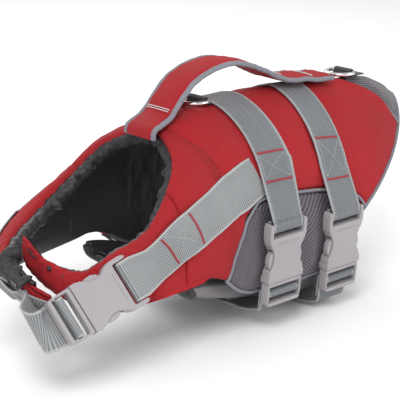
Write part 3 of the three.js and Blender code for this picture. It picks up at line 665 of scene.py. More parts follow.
# the mesh insert over the tail
n, m = 40, 50
s = np.broadcast_to(np.linspace(14.15, TAIL, n)[:, None], (n, m))
half = np.array([cover_high(x) for x in s[:, 0]])[:, None] - 0.012
v = half * np.linspace(-1, 1, m)[None, :]
base = surface("left", s, v)
run_s, run_v = lengths_along(base, 0), lengths_along(base, 1)
edge = np.minimum(np.minimum(run_v, run_v[:, -1:] - run_v), run_s[-1:] - run_s)
lift = 1.6 * smooth(0, 16, edge) - 1.2 + noise_grid(base, 0.06, 5) * 0.8
normal = outward("left", s, v)
TAIL_PAD_THICK = 6.5
top, under = (base + normal * (lift - k)[..., None] for k in (0, TAIL_PAD_THICK))
dress(two_faced("tail_pad", top, under, run_v, run_s, MESH), "jacket", ["tail_mesh"])

# ------------------------------------------------------------------ piping and bindings


HEM_V, PIPE_INSET = 1.97, 0.006


def piping(name, stops, word, radius=1.5, rise=-0.2):
    """A cord of piping laid along (s, v) stops of the surface."""
    s, v = np.array(stops, float).T
    path = above(word, s, v, np.full(len(s), rise))
    path = path + outward(word, s, v) * (noise_grid(path[:, None], 0.12, 1.0)[:, 0] * 0.5)[:, None]
    dress(tube(name, path, radius, PIPING), "jacket")


for word in ("left", "right"):
    stops = [(x, cover_low(x) + PIPE_INSET) for x in np.linspace(7.0, TAIL - 0.02, 190)]
    piping(f"side_piping_{word}", stops, word)
    stops = [(x, cover_high(x) - PIPE_INSET) for x in np.linspace(13.8, TAIL - 0.02, 50)]
    piping(f"tail_piping_{word}", stops, word)
    piping(f"hem_piping_{word}", [(x, HEM_V) for x in np.linspace(7.0, TAIL - 0.02, 140)], word, 1.6, 0.2)


def edge_roll(name, word, stops, away, half_depth, half_thick, mat, ruffle, replaces, gap, seed, deeper=0.0):
    """A bound edge: a flattened roll that wraps the layers, gathered along its length."""
    s, v = np.array(stops, float).T
    normal = outward(word, s, v)
    depth = LINING_OUTER * thinned(s) - LINING - 0.6
    base = surface(word, s, v)
    off = away(s)
    fuller = 1 + 0.45 * (1 - smooth(4.5, 6.5, s)) if deeper else np.ones(len(s))
    path = base + normal * (depth / 2 - deeper)[:, None] + off * (gap * fuller * fuller)[:, None]
    run = lengths_along(path[:, None], 0)[:, 0]
    tangent = unit(np.gradient(path, axis=0))
    out = unit(off - (off * tangent).sum(-1, keepdims=True) * tangent)
    side = np.cross(tangent, out)
    sides, girth = 22, 6.0
    angles = np.linspace(0, 2 * math.pi, sides, endpoint=False)
    half = np.abs(depth) / 2 * half_depth
    gathers = 0.5 * np.sin(run / 2.3 + 2 * np.sin(run / 17.0)) + 0.6 * np.sin(run / 3.9 + seed)
    swell = 1 + ruffle * gathers
    wobble = np.array([[noise.noise(Vector((r * 0.22, a * 1.4, seed))) for a in np.cos(angles)] for r in run])
    radius_out = half_thick * (fuller * swell)[:, None] * (1 + ruffle * 1.5 * wobble)
    radius_side = half[:, None] * (1 + ruffle * 0.5 * wobble)
    rings = (
        path[:, None]
        + out[:, None] * (np.cos(angles)[None, :] * radius_out)[..., None]
        + side[:, None] * (np.sin(angles)[None, :] * radius_side)[..., None]
    )
    uv = np.stack([np.tile(angles * girth, len(path)), np.repeat(run, sides)], -1) / 1000
    o = mesh_object(name, rings.reshape(-1, 3), ring_faces(len(path), sides), mat, uv)
    dress(o, "jacket", replaces)


def off_tail(s):
    """Away from the tail's edge, whose stops are TAIL_EDGE_V."""
    along_s, along_v = slopes("left", s, TAIL_EDGE_V)
    edge = unit(along_v)
    return unit(along_s - (along_s * edge).sum(-1, keepdims=True) * edge)


def off_rim(word):
    """Away from the rim of the collar, at any stations."""
    def away(s):
        along_s, along_v = slopes(word, s, np.full_like(s, 0.01))
        edge = unit(along_s)
        return -unit(along_v - (along_v * edge).sum(-1, keepdims=True) * edge)
    return away


TAIL_EDGE_V = np.linspace(-1.9, 1.9, 170)
edge_roll("tail_edge", "left", [(TAIL, x) for x in TAIL_EDGE_V], off_tail, 0.98, 2.6, PIPING, 0.05,
          ["tail_binding"], 0.6, 2.0)
for word in ("left", "right"):
    first = 1.25 if word == "left" else 0.9
    stops = [(x, 0.0) for x in np.linspace(first, NECK - 0.02, 260)]
    edge_roll(f"neck_roll_{word}", word, stops, off_rim(word), 0.86, 4.8, BLACK, 0.34,
              [f"neck_binding_{word}"], 1.6, 3.0, deeper=2.2)

# ------------------------------------------------------------------ belly panel


def belly_ends(phi):
    """x of the belly panel's front and rear edges."""
    return -19 + 24 * np.sin(phi) ** 2, 198 + 14 * np.sin(phi)


def belly(x, phi):
    """Points of the belly panel's outer face, phi from 0 at the left edge to pi at the right."""
    top = -127 - 15 * smooth(-19, 60, x)
    low = -149 - 39 * np.sin(math.pi / 2 * np.clip(np.maximum(x, 0) / 190, 0, 1))
    half = 77 - 11 * smooth(-19, 50, x)
    r = (np.cos(phi) ** 4 + np.sin(phi) ** 4) ** -0.25
    return np.stack([x + 0 * phi, -half * r * np.cos(phi), top - (top - low) * r * np.sin(phi)], -1)


def below_belly(x, phi, off):
    """Points that lie off outside the belly panel, and the normals there."""
    x, phi = np.broadcast_arrays(np.asarray(x, float), np.asarray(phi, float))
    along_x = belly(x + STEP, phi) - belly(x - STEP, phi)
    along_phi = belly(x, phi + STEP) - belly(x, phi - STEP)
    normal = unit(np.cross(along_phi, along_x))
    return belly(x, phi) + normal * np.broadcast_to(np.asarray(off, float), x.shape)[..., None], normal


def belly_layer(name, outer, inner, mat, rounding, counts, replaces, puff, seed):
    n, m = counts
    phi = np.broadcast_to(np.linspace(0.0, math.pi, m)[None, :], counts)
    front, rear = belly_ends(phi)
    t = np.linspace(0, 1, n)[:, None]
    x = front + (rear - front) * t
    base, normal = below_belly(x, phi, 0.0)
    run_s, run_v = lengths_along(base, 0), lengths_along(base, 1)
    edge = from_edges(run_s, run_v)
    lift = puff * smooth(2, 25, edge)
    for _, side in BELTS.values():
        lift = lift * smooth(17, 34, np.abs(base[..., 0] - side))
    lift = lift + noise_grid(base, 0.05, seed) * smooth(0, 10, edge)
    curve = np.sqrt(1 - (1 - np.clip(edge / rounding, 0, 1)) ** 2) if rounding else np.ones_like(edge)
    middle, half = (outer + inner) / 2, (outer - inner) / 2
    top = base + normal * (middle + half * curve + lift)[..., None]
    under = base + normal * (middle - half * curve + 0.3 * lift)[..., None]
    return dress(two_faced(name, top, under, run_v, run_s, mat), "jacket", replaces), top


belly_pad, _ = belly_layer("belly_pad", 0.0, -8.2, BELLY, 5.0, (90, 80),
                           ["belly_cover", "belly_foam"], 1.0, 51)
belly_inside, laid_out = belly_layer("belly_inside", -9.6, -10.8, BLACK, 0.0, (70, 60),
                                     ["belly_lining"], 0.2, 55)
declare_cloth(belly_inside, laid_out)

BELLY_SIDE = 0.02
EDGES = {"left": (BELLY_SIDE,) * 2, "right": (math.pi - BELLY_SIDE,) * 2, "front": (0.0, math.pi)}
for tag, phis in EDGES.items():
    phi = np.linspace(*phis, 90)
    front, rear = belly_ends(phi)
    x = front + 1.5 if tag == "front" else front + (rear - front) * np.linspace(0.01, 0.99, 90)
    path, _ = below_belly(x, phi, -3.4)
    dress(tube(f"belly_edge_{tag}", path, 4.6, BLACK, 14), "jacket")

# ------------------------------------------------------------------ webbing
WIDTH, THICK = 38.0, 1.6
COLUMNS = np.array([-1, -0.985, -0.955, -0.9, -0.75, -0.5, -0.25, 0, 0.25, 0.5, 0.75, 0.9, 0.955, 0.985, 1])
MIDDLE = len(COLUMNS) // 2
FREE_WIDTH = WIDTH - 0.4  # where it runs through a buckle


def on_surface(word, s, v, s2, v2, rise):
    """The webbing's inner face across a strap that runs from (s, v) towards (s2, v2), and its normals."""
    s, v, s2, v2 = (np.asarray(a, float) for a in (s, v, s2, v2))
    along = unit(surface(word, s2, v2) - surface(word, s, v))
    across = unit(np.cross(outward(word, s, v), along))
    along_s, along_v = slopes(word, s, v)
    ss, vv, sv = (along_s**2).sum(-1), (along_v**2).sum(-1), (along_s * along_v).sum(-1)
    a_s, a_v = (across * along_s).sum(-1), (across * along_v).sum(-1)
    ds = (a_s * vv - a_v * sv) / (ss * vv - sv * sv)
    dv = (a_v * ss - a_s * sv) / (ss * vv - sv * sv)
    reach = COLUMNS[None, :] * WIDTH / 2
    at_s, at_v = s[:, None] + reach * ds[:, None], v[:, None] + reach * dv[:, None]
    at_v = np.where((s < NECK)[:, None], np.clip(at_v, 0.03, 1.97), at_v)
    normal = outward(word, at_s, at_v)
    rise = np.broadcast_to(np.asarray(rise, float), s.shape)
    return surface(word, at_s, at_v) + normal * rise[:, None, None], normal


def laid(word, stops, count, rise):
    """Sections along a smooth line through (s, v) stops; rise is a function of the way along it, 0 to 1."""
    stops = np.array(stops, float)
    last = len(stops) - 1

    def at(t):
        k = np.clip(t, 0, 1) * last
        i = np.minimum(np.floor(k).astype(int), last - 1)
        p1, p2 = stops[i], stops[i + 1]
        before = np.where((i > 0)[:, None], stops[np.maximum(i - 1, 0)], 2 * p1 - p2)
        after = np.where((i + 2 <= last)[:, None], stops[np.minimum(i + 2, last)], 2 * p2 - p1)
        return catmull(before, p1, p2, after, (k - i)[:, None]).T

    t = np.minimum(np.linspace(0, 1, count), 1 - 1e-3)
    return on_surface(word, *at(t), *at(t + 1e-3), rise(t))


def bent(points, place, across=1.0):
    """Sections of webbing bent through (y, z) points of a buckle's own frame."""
    points = np.array(points, float)
    d = np.empty_like(points)
    d[1:-1] = points[2:] - points[:-2]
    d[0], d[-1] = points[1] - points[0], points[-1] - points[-2]
    d = unit(d)
    normal = np.stack([np.zeros(len(d)), -d[:, 1], d[:, 0]], -1)
    start = np.stack([np.zeros(len(d)), points[:, 0], points[:, 1]], -1) - normal * THICK / 2
    matrix = np.array(place)
    turn, shift = matrix[:3, :3], matrix[:3, 3]
    wide = turn @ np.array([across, 0, 0])
    centre, normal = start @ turn.T + shift, normal @ turn.T
    grid = centre[:, None] + wide[None, None] * (COLUMNS * FREE_WIDTH / 2)[None, :, None]
    return grid, np.repeat(normal[:, None], len(COLUMNS), 1)


def finer(grid, k):
    """A grid with k times as many sections, on a smooth curve through them."""
    n = len(grid)
    t = np.linspace(0, n - 1 - 1e-9, (n - 1) * k + 1)
    i = np.floor(t).astype(int)
    padded_grid = np.concatenate([[2 * grid[0] - grid[1]], grid, [2 * grid[-1] - grid[-2]]])
    f = (t - i).reshape(-1, *[1] * (grid.ndim - 1))
    return catmull(padded_grid[i], padded_grid[i + 1], padded_grid[i + 2], padded_grid[i + 3], f)


def joined(*parts):
    return np.concatenate([p[0] for p in parts]), np.concatenate([p[1] for p in parts])


def ribbon(name, grid, normals, mat, body, k=3, width=WIDTH, replaces=(), seed=1.0, sag=0.35):
    """A strap of webbing with soft selvedges."""
    grid, normals = finer(grid, k), unit(finer(normals, k))
    u = COLUMNS * width / 2
    past = np.clip((np.abs(u) - (width / 2 - THICK / 2)) / (THICK / 2), 0, 1)
    half = np.maximum(THICK / 2 * np.sqrt(1 - past**2), 0.08)[None, :, None]
    waves = noise_grid(grid, 0.06, seed, 2)[..., None] * sag
    top = grid + normals * (THICK / 2 + half + np.abs(waves))
    under = grid + normals * (THICK / 2 - half + np.abs(waves))
    run = lengths_along(grid[:, MIDDLE:MIDDLE + 1], 0)
    o = dress(two_faced(name, top, under, u[None], run, mat), body, replaces)
    return o, grid, normals


def place_of(centre, axis, normal):
    """The matrix of a frame with its y along axis and its z near normal."""
    centre, axis, normal = (np.array(a, float) for a in (centre, axis, normal))
    across = unit(np.cross(axis, normal))
    axis = unit(axis)
    m = np.eye(4)
    m[:3, 0], m[:3, 1], m[:3, 2], m[:3, 3] = across, axis, np.cross(across, axis), centre
    return m


PLACES = {
    "chest": place_of((-131.9, -87.7, -108.2), (-0.96, 0.05, -0.27), (-0.19, -0.82, 0.53)),
    "front": place_of((80, -97, -121), (0, 0.08, -1), (0, -1, -0.08)),
    "rear": place_of((160, -95.6, -127), (0, 0.08, -1), (0, -1, -0.08)),
}
BAR, MALE_BAR = -35.0, 29.5
BAR_RADIUS, BAR_CLEARANCE = 2, 0.4
WRAP = BAR_RADIUS + BAR_CLEARANCE + THICK / 2  # from a bar's centre to the middle of a strap round it


def around(y, start, end, count):
    return [[y + WRAP * math.cos(a), WRAP * math.sin(a)] for a in np.linspace(start, end, count + 1)]


MALE_WRAP = [[39, -6.7], [34.4, -5.4], [32.8, -2.6], *around(MALE_BAR, 0, math.pi, 8), [26.4, -3], [27.2, -6.4],
             [30, -8.9], [38, -9.3], [50, -9.4]]
FEMALE_WRAP = [[-46, 0.2], [-42, 2.2], [-38.5, WRAP], *around(BAR, math.pi / 2, -math.pi / 2, 8), [-38.5, -3.6],
               [-42, -4]]
RISE = 1.6
bands = {}
for word, last in (("front", 0.62), ("rear", 0.68)):
    ridge, side = BELTS[word]
    phi = np.linspace(0.95, math.pi - 0.42, 20)
    x = side + COLUMNS * WIDTH / 2
    under = below_belly(x[None, :], phi[:, None], RISE)
    stops = np.concatenate([np.linspace(-1.92, 0, 34), np.linspace(0, last, 14)[1:]])
    s, s2 = (
        np.array([station_at(ridge + (side - ridge) * min(abs(a), 1), a) for a in at])
        for at in (stops, stops + STEP)
    )
    over = on_surface("left", s, stops, s2, stops + STEP, RISE)
    mouth_part = bent(FEMALE_WRAP, PLACES[word], -1.0)
    bands[word] = ribbon(f"{word}_strap", *joined(under, over, mouth_part), WEBBING, "jacket",
                         replaces=[f"{word}_belt"], seed=60)

NECK_PATH = [[9.9, 0.66], [9.1, 0.69], [8.25, 0.71], [7, 0.72], [6, 0.73], [5.4, 0.75], [4.7, 0.8]]


def rising(t):
    """A strap comes out from under the belt, pressed flat there."""
    return RISE * smooth(0.02, 0.2, t) - 0.9 * (1 - smooth(0, 0.08, t)) + 0.6 * t


left_part = laid("left", NECK_PATH + [[4.05, 0.95]], 34, rising)
mouth_part = bent(FEMALE_WRAP, PLACES["chest"], -1.0)
bands["left"] = ribbon("chest_strap_left", *joined(left_part, mouth_part), PALE_WEBBING, "jacket",
                       replaces=["neck_strap_left"], seed=64)
right_path = NECK_PATH + [[4, 1.05], [3, 1.3], [2, 1.56], [1.2, 1.62], [0.45, 1.62]]
right_part = laid("right", right_path, 60, lambda t: rising(t) - 0.6 * t)
bands["right"] = ribbon("chest_strap_right", *right_part, PALE_WEBBING, "jacket",
                        replaces=["neck_strap_right"], seed=66)

# ------------------------------------------------------------------ stitching on the webbing


def on_band(band, u, run):
    """A point of a strap's outer face, u across and run along it in mm, and the normal there."""
    _, grid, normals = band
    along = lengths_along(grid[:, MIDDLE:MIDDLE + 1], 0)[:, 0]
    run = np.clip(np.asarray(run, float), 0, along[-1] - 1e-6)
    i = np.clip(np.searchsorted(along, run, side="right") - 1, 0, len(along) - 2)
    f = (run - along[i]) / np.maximum(along[i + 1] - along[i], 1e-9)
    columns = COLUMNS * WIDTH / 2
    u = np.clip(np.asarray(u, float), columns[0], columns[-1] - 1e-6)
    j = np.clip(np.searchsorted(columns, u, side="right") - 1, 0, len(columns) - 2)
    g = (u - columns[j]) / (columns[j + 1] - columns[j])
    f, g = f[:, None], g[:, None]
    near = grid[i, j] * (1 - f) + grid[i + 1, j] * f
    far = grid[i, j + 1] * (1 - f) + grid[i + 1, j + 1] * f
    point = near * (1 - g) + far * g
    normal = unit(normals[i, j] * (1 - f) + normals[i + 1, j] * f)
    return point + normal * (THICK + 0.3), normal


STITCH_SIDES = 6
STITCH_RINGS = np.array([0, 0.2, 0.5, 0.8, 1.0])


def dashes(name, paths, mat, body, radius=0.42, pitch=2.6, length=2.0):
    """Stitches along each (points, normals) path, as one piece."""
    points, faces = [], []
    ring = np.linspace(0, 2 * math.pi, STITCH_SIDES, endpoint=False)
    stitch = ring_faces(len(STITCH_RINGS), STITCH_SIDES)
    for path, normal in paths:
        run = lengths_along(path[:, None], 0)[:, 0]
        for start in np.arange(0, run[-1] - length * 0.8, pitch):
            stations = np.minimum(start + STITCH_RINGS * length, run[-1])
            centre = np.stack([np.interp(stations, run, path[:, k]) for k in range(3)], -1)
            up = unit(np.stack([np.interp(stations, run, normal[:, k]) for k in range(3)], -1))
            along = unit(centre[-1:] - centre[:1])
            side = np.cross(along, up)
            size = radius * np.array([0.35, 0.85, 1, 0.85, 0.35])[:, None, None]
            sink = radius * np.array([-0.6, 0.1, 0.35, 0.1, -0.6])[:, None]
            centre = centre + up * sink
            rings = centre[:, None] + (np.cos(ring)[None, :, None] * up[:, None] * size
                                       + np.sin(ring)[None, :, None] * side[:, None] * size)
            first = len(points)
            points.extend(rings.reshape(-1, 3))
            faces += [tuple(first + q for q in f) for f in stitch]
    return dress(mesh_object(name, np.array(points), faces, mat), body)


def line_on(band, u0, r0, u1, r1, count=24):
    t = np.linspace(0, 1, count)
    return on_band(band, u0 + (u1 - u0) * t, r0 + (r1 - r0) * t)


def run_at(band, point):
    """How far along a strap its middle comes nearest to a drawing point."""
    _, grid, _ = band
    along = lengths_along(grid[:, MIDDLE:MIDDLE + 1], 0)[:, 0]
    return float(along[np.argmin(np.linalg.norm(grid[:, MIDDLE] - np.array(point, float), axis=-1))])


def box_stitch(name, band, first, last, half=14.5):
    """Two bar tacks across a strap with a crossed box between them."""
    low, high = min(first, last), max(first, last)
    over, inset = half + 1.5, 2.5
    bars = [line_on(band, -over, r + d, over, r + d) for r in (low, high) for d in (-0.5, 0.5)]
    dashes(f"{name}_bars", bars, RED_THREAD, "jacket", 0.62, 1.5, 1.9)
    near, far = low + inset, high - inset
    corners = ((-half, half), (half, -half), (-half, -half), (half, half))
    inner = [line_on(band, u0, near, u1, far) for u0, u1 in corners]
    dashes(f"{name}_cross", inner, GREY_THREAD, "jacket")


STITCHED = {
    "front": ("front", (BELTS["front"][1], -66, -25), (BELTS["front"][1], -82, -58)),
    "rear": ("rear", (BELTS["rear"][1], -66, -25), (BELTS["rear"][1], -82, -58)),
    "chest": ("left", (-22, -88, -67), (-51, -85, -84)),
}
for word, (which, *ends) in STITCHED.items():
    box_stitch(f"{word}_stitch", bands[which], *(run_at(bands[which], end) for end in ends))
for word, band in bands.items():
    total = float(lengths_along(band[1][:, MIDDLE:MIDDLE + 1], 0)[-1, 0])
    paths = [line_on(band, u, 2, u, total - 16, 200) for u in (-15.6, 15.6)]
    dashes(f"{word}_edge_stitch", paths, GREY_THREAD, "jacket", 0.3, 3.4, 2.2)

# ------------------------------------------------------------------ buckles


def plate(outline, height, bevel=0.7, holes=(), z=0.0):
    """A flat part with rounded edges, in a buckle's own millimetres."""
    curve = bpy.data.curves.new("plate", "CURVE")
    curve.dimensions = "2D"
    curve.fill_mode = "BOTH"
    curve.extrude = height / 2 - bevel
    curve.bevel_depth = bevel
    curve.bevel_resolution = 2
    curve.offset = -bevel
    for line in (outline, *holes):
        spline = curve.splines.new("POLY")
        spline.points.add(len(line) - 1)
        for point, (x, y) in zip(spline.points, line):
            point.co = (x, y, 0, 1)
        spline.use_cyclic_u = True
    o = bpy.data.objects.new("plate", curve)
    scene.collection.objects.link(o)
    bpy.context.view_layer.update()
    mesh = bpy.data.meshes.new_from_object(o.evaluated_get(bpy.context.evaluated_depsgraph_get()))
    bpy.data.objects.remove(o)
    out = bpy.data.objects.new("plate", mesh)
    scene.collection.objects.link(out)
    edit = bmesh.new()
    edit.from_mesh(mesh)
    bmesh.ops.remove_doubles(edit, verts=edit.verts, dist=0.01)
    for vertex in edit.verts:
        vertex.co.z += z
    bmesh.ops.recalc_face_normals(edit, faces=edit.faces)
    edit.to_mesh(mesh)
    edit.free()
    return out


def combine(o, others, operation):
    for other in others:
        modifier = o.modifiers.new("cut", "BOOLEAN")
        modifier.operation = operation
        modifier.solver = "EXACT"
        modifier.object = other
        bpy.context.view_layer.update()
        mesh = bpy.data.meshes.new_from_object(o.evaluated_get(bpy.context.evaluated_depsgraph_get()))
        o.modifiers.clear()
        o.data = mesh
        bpy.data.objects.remove(other)
    return o


def rod(y, radius, half):
    """A bar across a buckle at y."""
    edit = bmesh.new()
    bmesh.ops.create_cone(edit, cap_ends=True, segments=24, radius1=radius, radius2=radius, depth=2 * half)
    turned = Matrix.Translation((0, y, 0)) @ Matrix.Rotation(math.pi / 2, 4, "Y")
    bmesh.ops.transform(edit, verts=edit.verts, matrix=turned)
    mesh = bpy.data.meshes.new("rod")
    edit.to_mesh(mesh)
    edit.free()
    o = bpy.data.objects.new("rod", mesh)
    scene.collection.objects.link(o)
    return o


def both_sides(outline):
    return list(outline) + [(-x, y) for x, y in reversed(outline)]


def rounded(outline, radius=1.5):
    """Corners turned softly, each over at most radius along its sides."""
    points = [np.array(p, float) for p in outline]
    out = []
    for i, p in enumerate(points):
        before, after = points[i - 1], points[(i + 1) % len(points)]
        a = p + (before - p) * min(0.45, radius / max(np.linalg.norm(before - p), 1e-6))
        b = p + (after - p) * min(0.45, radius / max(np.linalg.norm(after - p), 1e-6))
        out += [tuple((1 - t) ** 2 * a + 2 * t * (1 - t) * p + t**2 * b) for t in (0.0, 0.33, 0.67, 1.0)]
    return out


def block(x0, x1, y0, y1, height, bevel=0.4, z=0.0):
    return plate([(x0, y0), (x1, y0), (x1, y1), (x0, y1)], height, bevel, (), z)


FEMALE = both_sides([
    (22, 17), (22, 9), (21.4, 5.4), (18.8, 2), (16.8, -3), (16.4, -8), (17.2, -12.5), (19.4, -16.8),
    (22, -21), (23.4, -26), (23.6, -37), (22.8, -40.4), (21.2, -41.6), (19.6, -40), (19.4, -27),
])
MALE = both_sides([(21.8, 17.4), (21.8, 32), (20.4, 41)])
WINDOW = [(-19.6, 21.5), (19.6, 21.5), (19.4, 37.5), (-19.4, 37.5)]
ARM = [(12.6, 16.6), (16.4, 16.6), (17.4, 9), (19.3, 4.2), (21.5, -1), (21.6, -6), (19.8, -11), (16, -13.6),
       (12.2, -13), (11.4, -9), (12.6, 0)]


FEMALE_THICK, COLLAR_THICK, CAVITY_THICK, MALE_THICK, ARM_THICK, TONGUE_THICK = 11, 11.8, 7.2, 10, 6.2, 6.2
CREASE_THICK, CREASE_HEIGHT = 1.2, 5.6


def finish_part(o, name, place, body, node_name=None):
    """Puts a moulded part in its place, in the buckles' plastic."""
    matrix = np.array(place)
    points = np.zeros(len(o.data.vertices) * 3)
    o.data.vertices.foreach_get("co", points)
    points = row(points.reshape(-1, 3) @ matrix[:3, :3].T + matrix[:3, 3])
    o.data.vertices.foreach_set("co", points.ravel())
    o.name = o.data.name = name
    o.data.materials.clear()
    o.data.materials.append(PLASTIC)
    o.data.polygons.foreach_set("use_smooth", [True] * len(o.data.polygons))
    o.data.set_sharp_from_angle(angle=math.radians(32))
    o.data.update()
    dress(o, body, [node_name] if node_name else ())


for word, place in PLACES.items():
    female = plate(rounded(FEMALE, 1.6), FEMALE_THICK, 1.4)
    collar = block(-22.6, 22.6, 10.5, 17, COLLAR_THICK, 0.9)
    female = combine(female, [collar, rod(BAR, BAR_RADIUS, 20.5)], "UNION")
    female = combine(female, [block(-20.2, 20.2, -16, 22, CAVITY_THICK, 0.3)], "DIFFERENCE")
    crease = block(-13, 13, -22.6, -21.4, CREASE_THICK, 0.3, CREASE_HEIGHT)
    female = combine(female, [crease], "DIFFERENCE")
    finish_part(female, f"{word}_buckle_housing", place, "jacket", f"{word}_buckle_female")
    male = plate(rounded(MALE, 2.2), MALE_THICK, 1.0, [rounded(WINDOW, 1.2)])
    tongue = block(-4, 4, -8, 19, TONGUE_THICK, 0.5)
    male = combine(male, [rod(MALE_BAR, BAR_RADIUS, 20), tongue], "UNION")
    finish_part(male, f"{word}_buckle_insert", place, f"{word}_male", f"{word}_buckle_male")
    for tag, sign in (("a", 1), ("b", -1)):
        arm = plate(rounded([(x * sign, y) for x, y in ARM], 1.2), ARM_THICK, 0.9)
        finish_part(arm, f"{word}_buckle_prong_{tag}", place, f"{word}_arm_{tag}",
                    f"{word}_buckle_arm_{tag}")

# ------------------------------------------------------------------ the straps' free ends


def in_place(place, profile):
    """(y, z) points of a buckle's own frame, in drawing millimetres."""
    profile = np.array(profile, float)
    points = np.stack([np.zeros(len(profile)), profile[:, 0], profile[:, 1]], -1)
    return points @ place[:3, :3].T + place[:3, 3]


def strip_through(points, across, name, mat, replaces, seed):
    """A strap along 3-D centre points, with its width along across at each."""
    points, across = np.array(points, float), unit(np.array(across, float))
    tangent = unit(np.gradient(points, axis=0))
    across = unit(across - (across * tangent).sum(-1, keepdims=True) * tangent)
    normal = np.cross(across, tangent)
    start = points - normal * THICK / 2
    grid = start[:, None] + across[:, None] * (COLUMNS * FREE_WIDTH / 2)[None, :, None]
    normals = np.repeat(normal[:, None], len(COLUMNS), 1)
    return ribbon(name, grid, normals, mat, None, 3, FREE_WIDTH, replaces, seed, 0.15)[0]


for word in ("front", "rear"):
    place = PLACES[word]
    side = BELTS[word][1]
    phis = (1.45, 1.2, 0.95)
    on_belly = [below_belly(side, p, RISE + THICK / 2)[0] for p in phis]
    end = in_place(place, [[45, -6.7]])[0]
    lift = on_belly[-1]
    bend = [
        [side, lift[1] - 12, lift[2] - 0.5], [side, lift[1] - 22, lift[2] + 0.6],
        [side, end[1] + 6.5, lift[2] + 3.4],
        [side, end[1] + 1.6, min(end[2] - 2.5, lift[2] + 8)],
    ]
    points = np.concatenate([on_belly, bend, in_place(place, MALE_WRAP)])
    across = np.tile([1.0, 0, 0], (len(points), 1))
    tail_strap = strip_through(points, across, f"{word}_loose_strap", WEBBING, [f"{word}_buckle_webbing"], 70)
    row(lift + [0, -10, 0])
    row(end + [0, 3, -2])
    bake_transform(tail_strap)

place = PLACES["chest"]
_, grid, normals = bands["right"]
run = lengths_along(grid[:, MIDDLE:MIDDLE + 1], 0)[:, 0]
back_to = [len(run) - 1 - int(k) for k in (46, 34, 22, 10)]
laid_on = [grid[i, MIDDLE] + normals[i, MIDDLE] * (THICK * 1.5 + 0.25) for i in back_to]
laid_across = [grid[i, -1] - grid[i, 0] for i in back_to]
wrap = in_place(place, MALE_WRAP)
end = in_place(place, [[46, -6.7]])[0]
wide = place[:3, 0]
sign = 1.0 if np.dot(laid_across[-1], wide) > 0 else -1.0
ahead = place[:3, 1]
turn = [end + ahead * 7 + [0, 19, 2], end + ahead * 8.5 + [0, 9, 1], end + ahead * 5 + [0, 2, 0], end]
laid_across = unit(np.array(laid_across)) * sign
between = [unit(laid_across[-1] * (1 - f) + wide * f) for f in (0.4, 0.75, 0.95, 1.0)]
points = np.concatenate([laid_on, turn, wrap])
across = np.concatenate([laid_across, between, np.tile(wide, (len(wrap), 1))])
tail_strap = strip_through(points, across, "chest_loose_strap", PALE_WEBBING, ["chest_buckle_webbing"], 74)
row(laid_on[-1] + [0, -4, 0])
row(turn[1])
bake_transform(tail_strap)

# ------------------------------------------------------------------ handle
HANDLE = np.array([
    [-8.5, -5], [-6.8, 1.6], [0, 4.8], [8, 8.4], [16, 15], [25, 25], [41, 39], [64, 47.5], [91, 49.5],
    [120, 41], [146, 28.5], [168, 21.5], [190, 19.6], [205, 16.6], [226, 15.6],
])


def handle_line(t):
    """A smooth line through the handle's points, as [x, 0, z]."""
    points = np.concatenate([[2 * HANDLE[0] - HANDLE[1]], HANDLE, [2 * HANDLE[-1] - HANDLE[-2]]])
    k = np.clip(t, 0, 1) * (len(HANDLE) - 1)
    i = np.minimum(np.floor(k).astype(int), len(HANDLE) - 2)
    p = catmull(points[i], points[i + 1], points[i + 2], points[i + 3], (k - i)[:, None])
    return np.stack([p[:, 0], np.zeros(len(p)), p[:, 1]], -1)


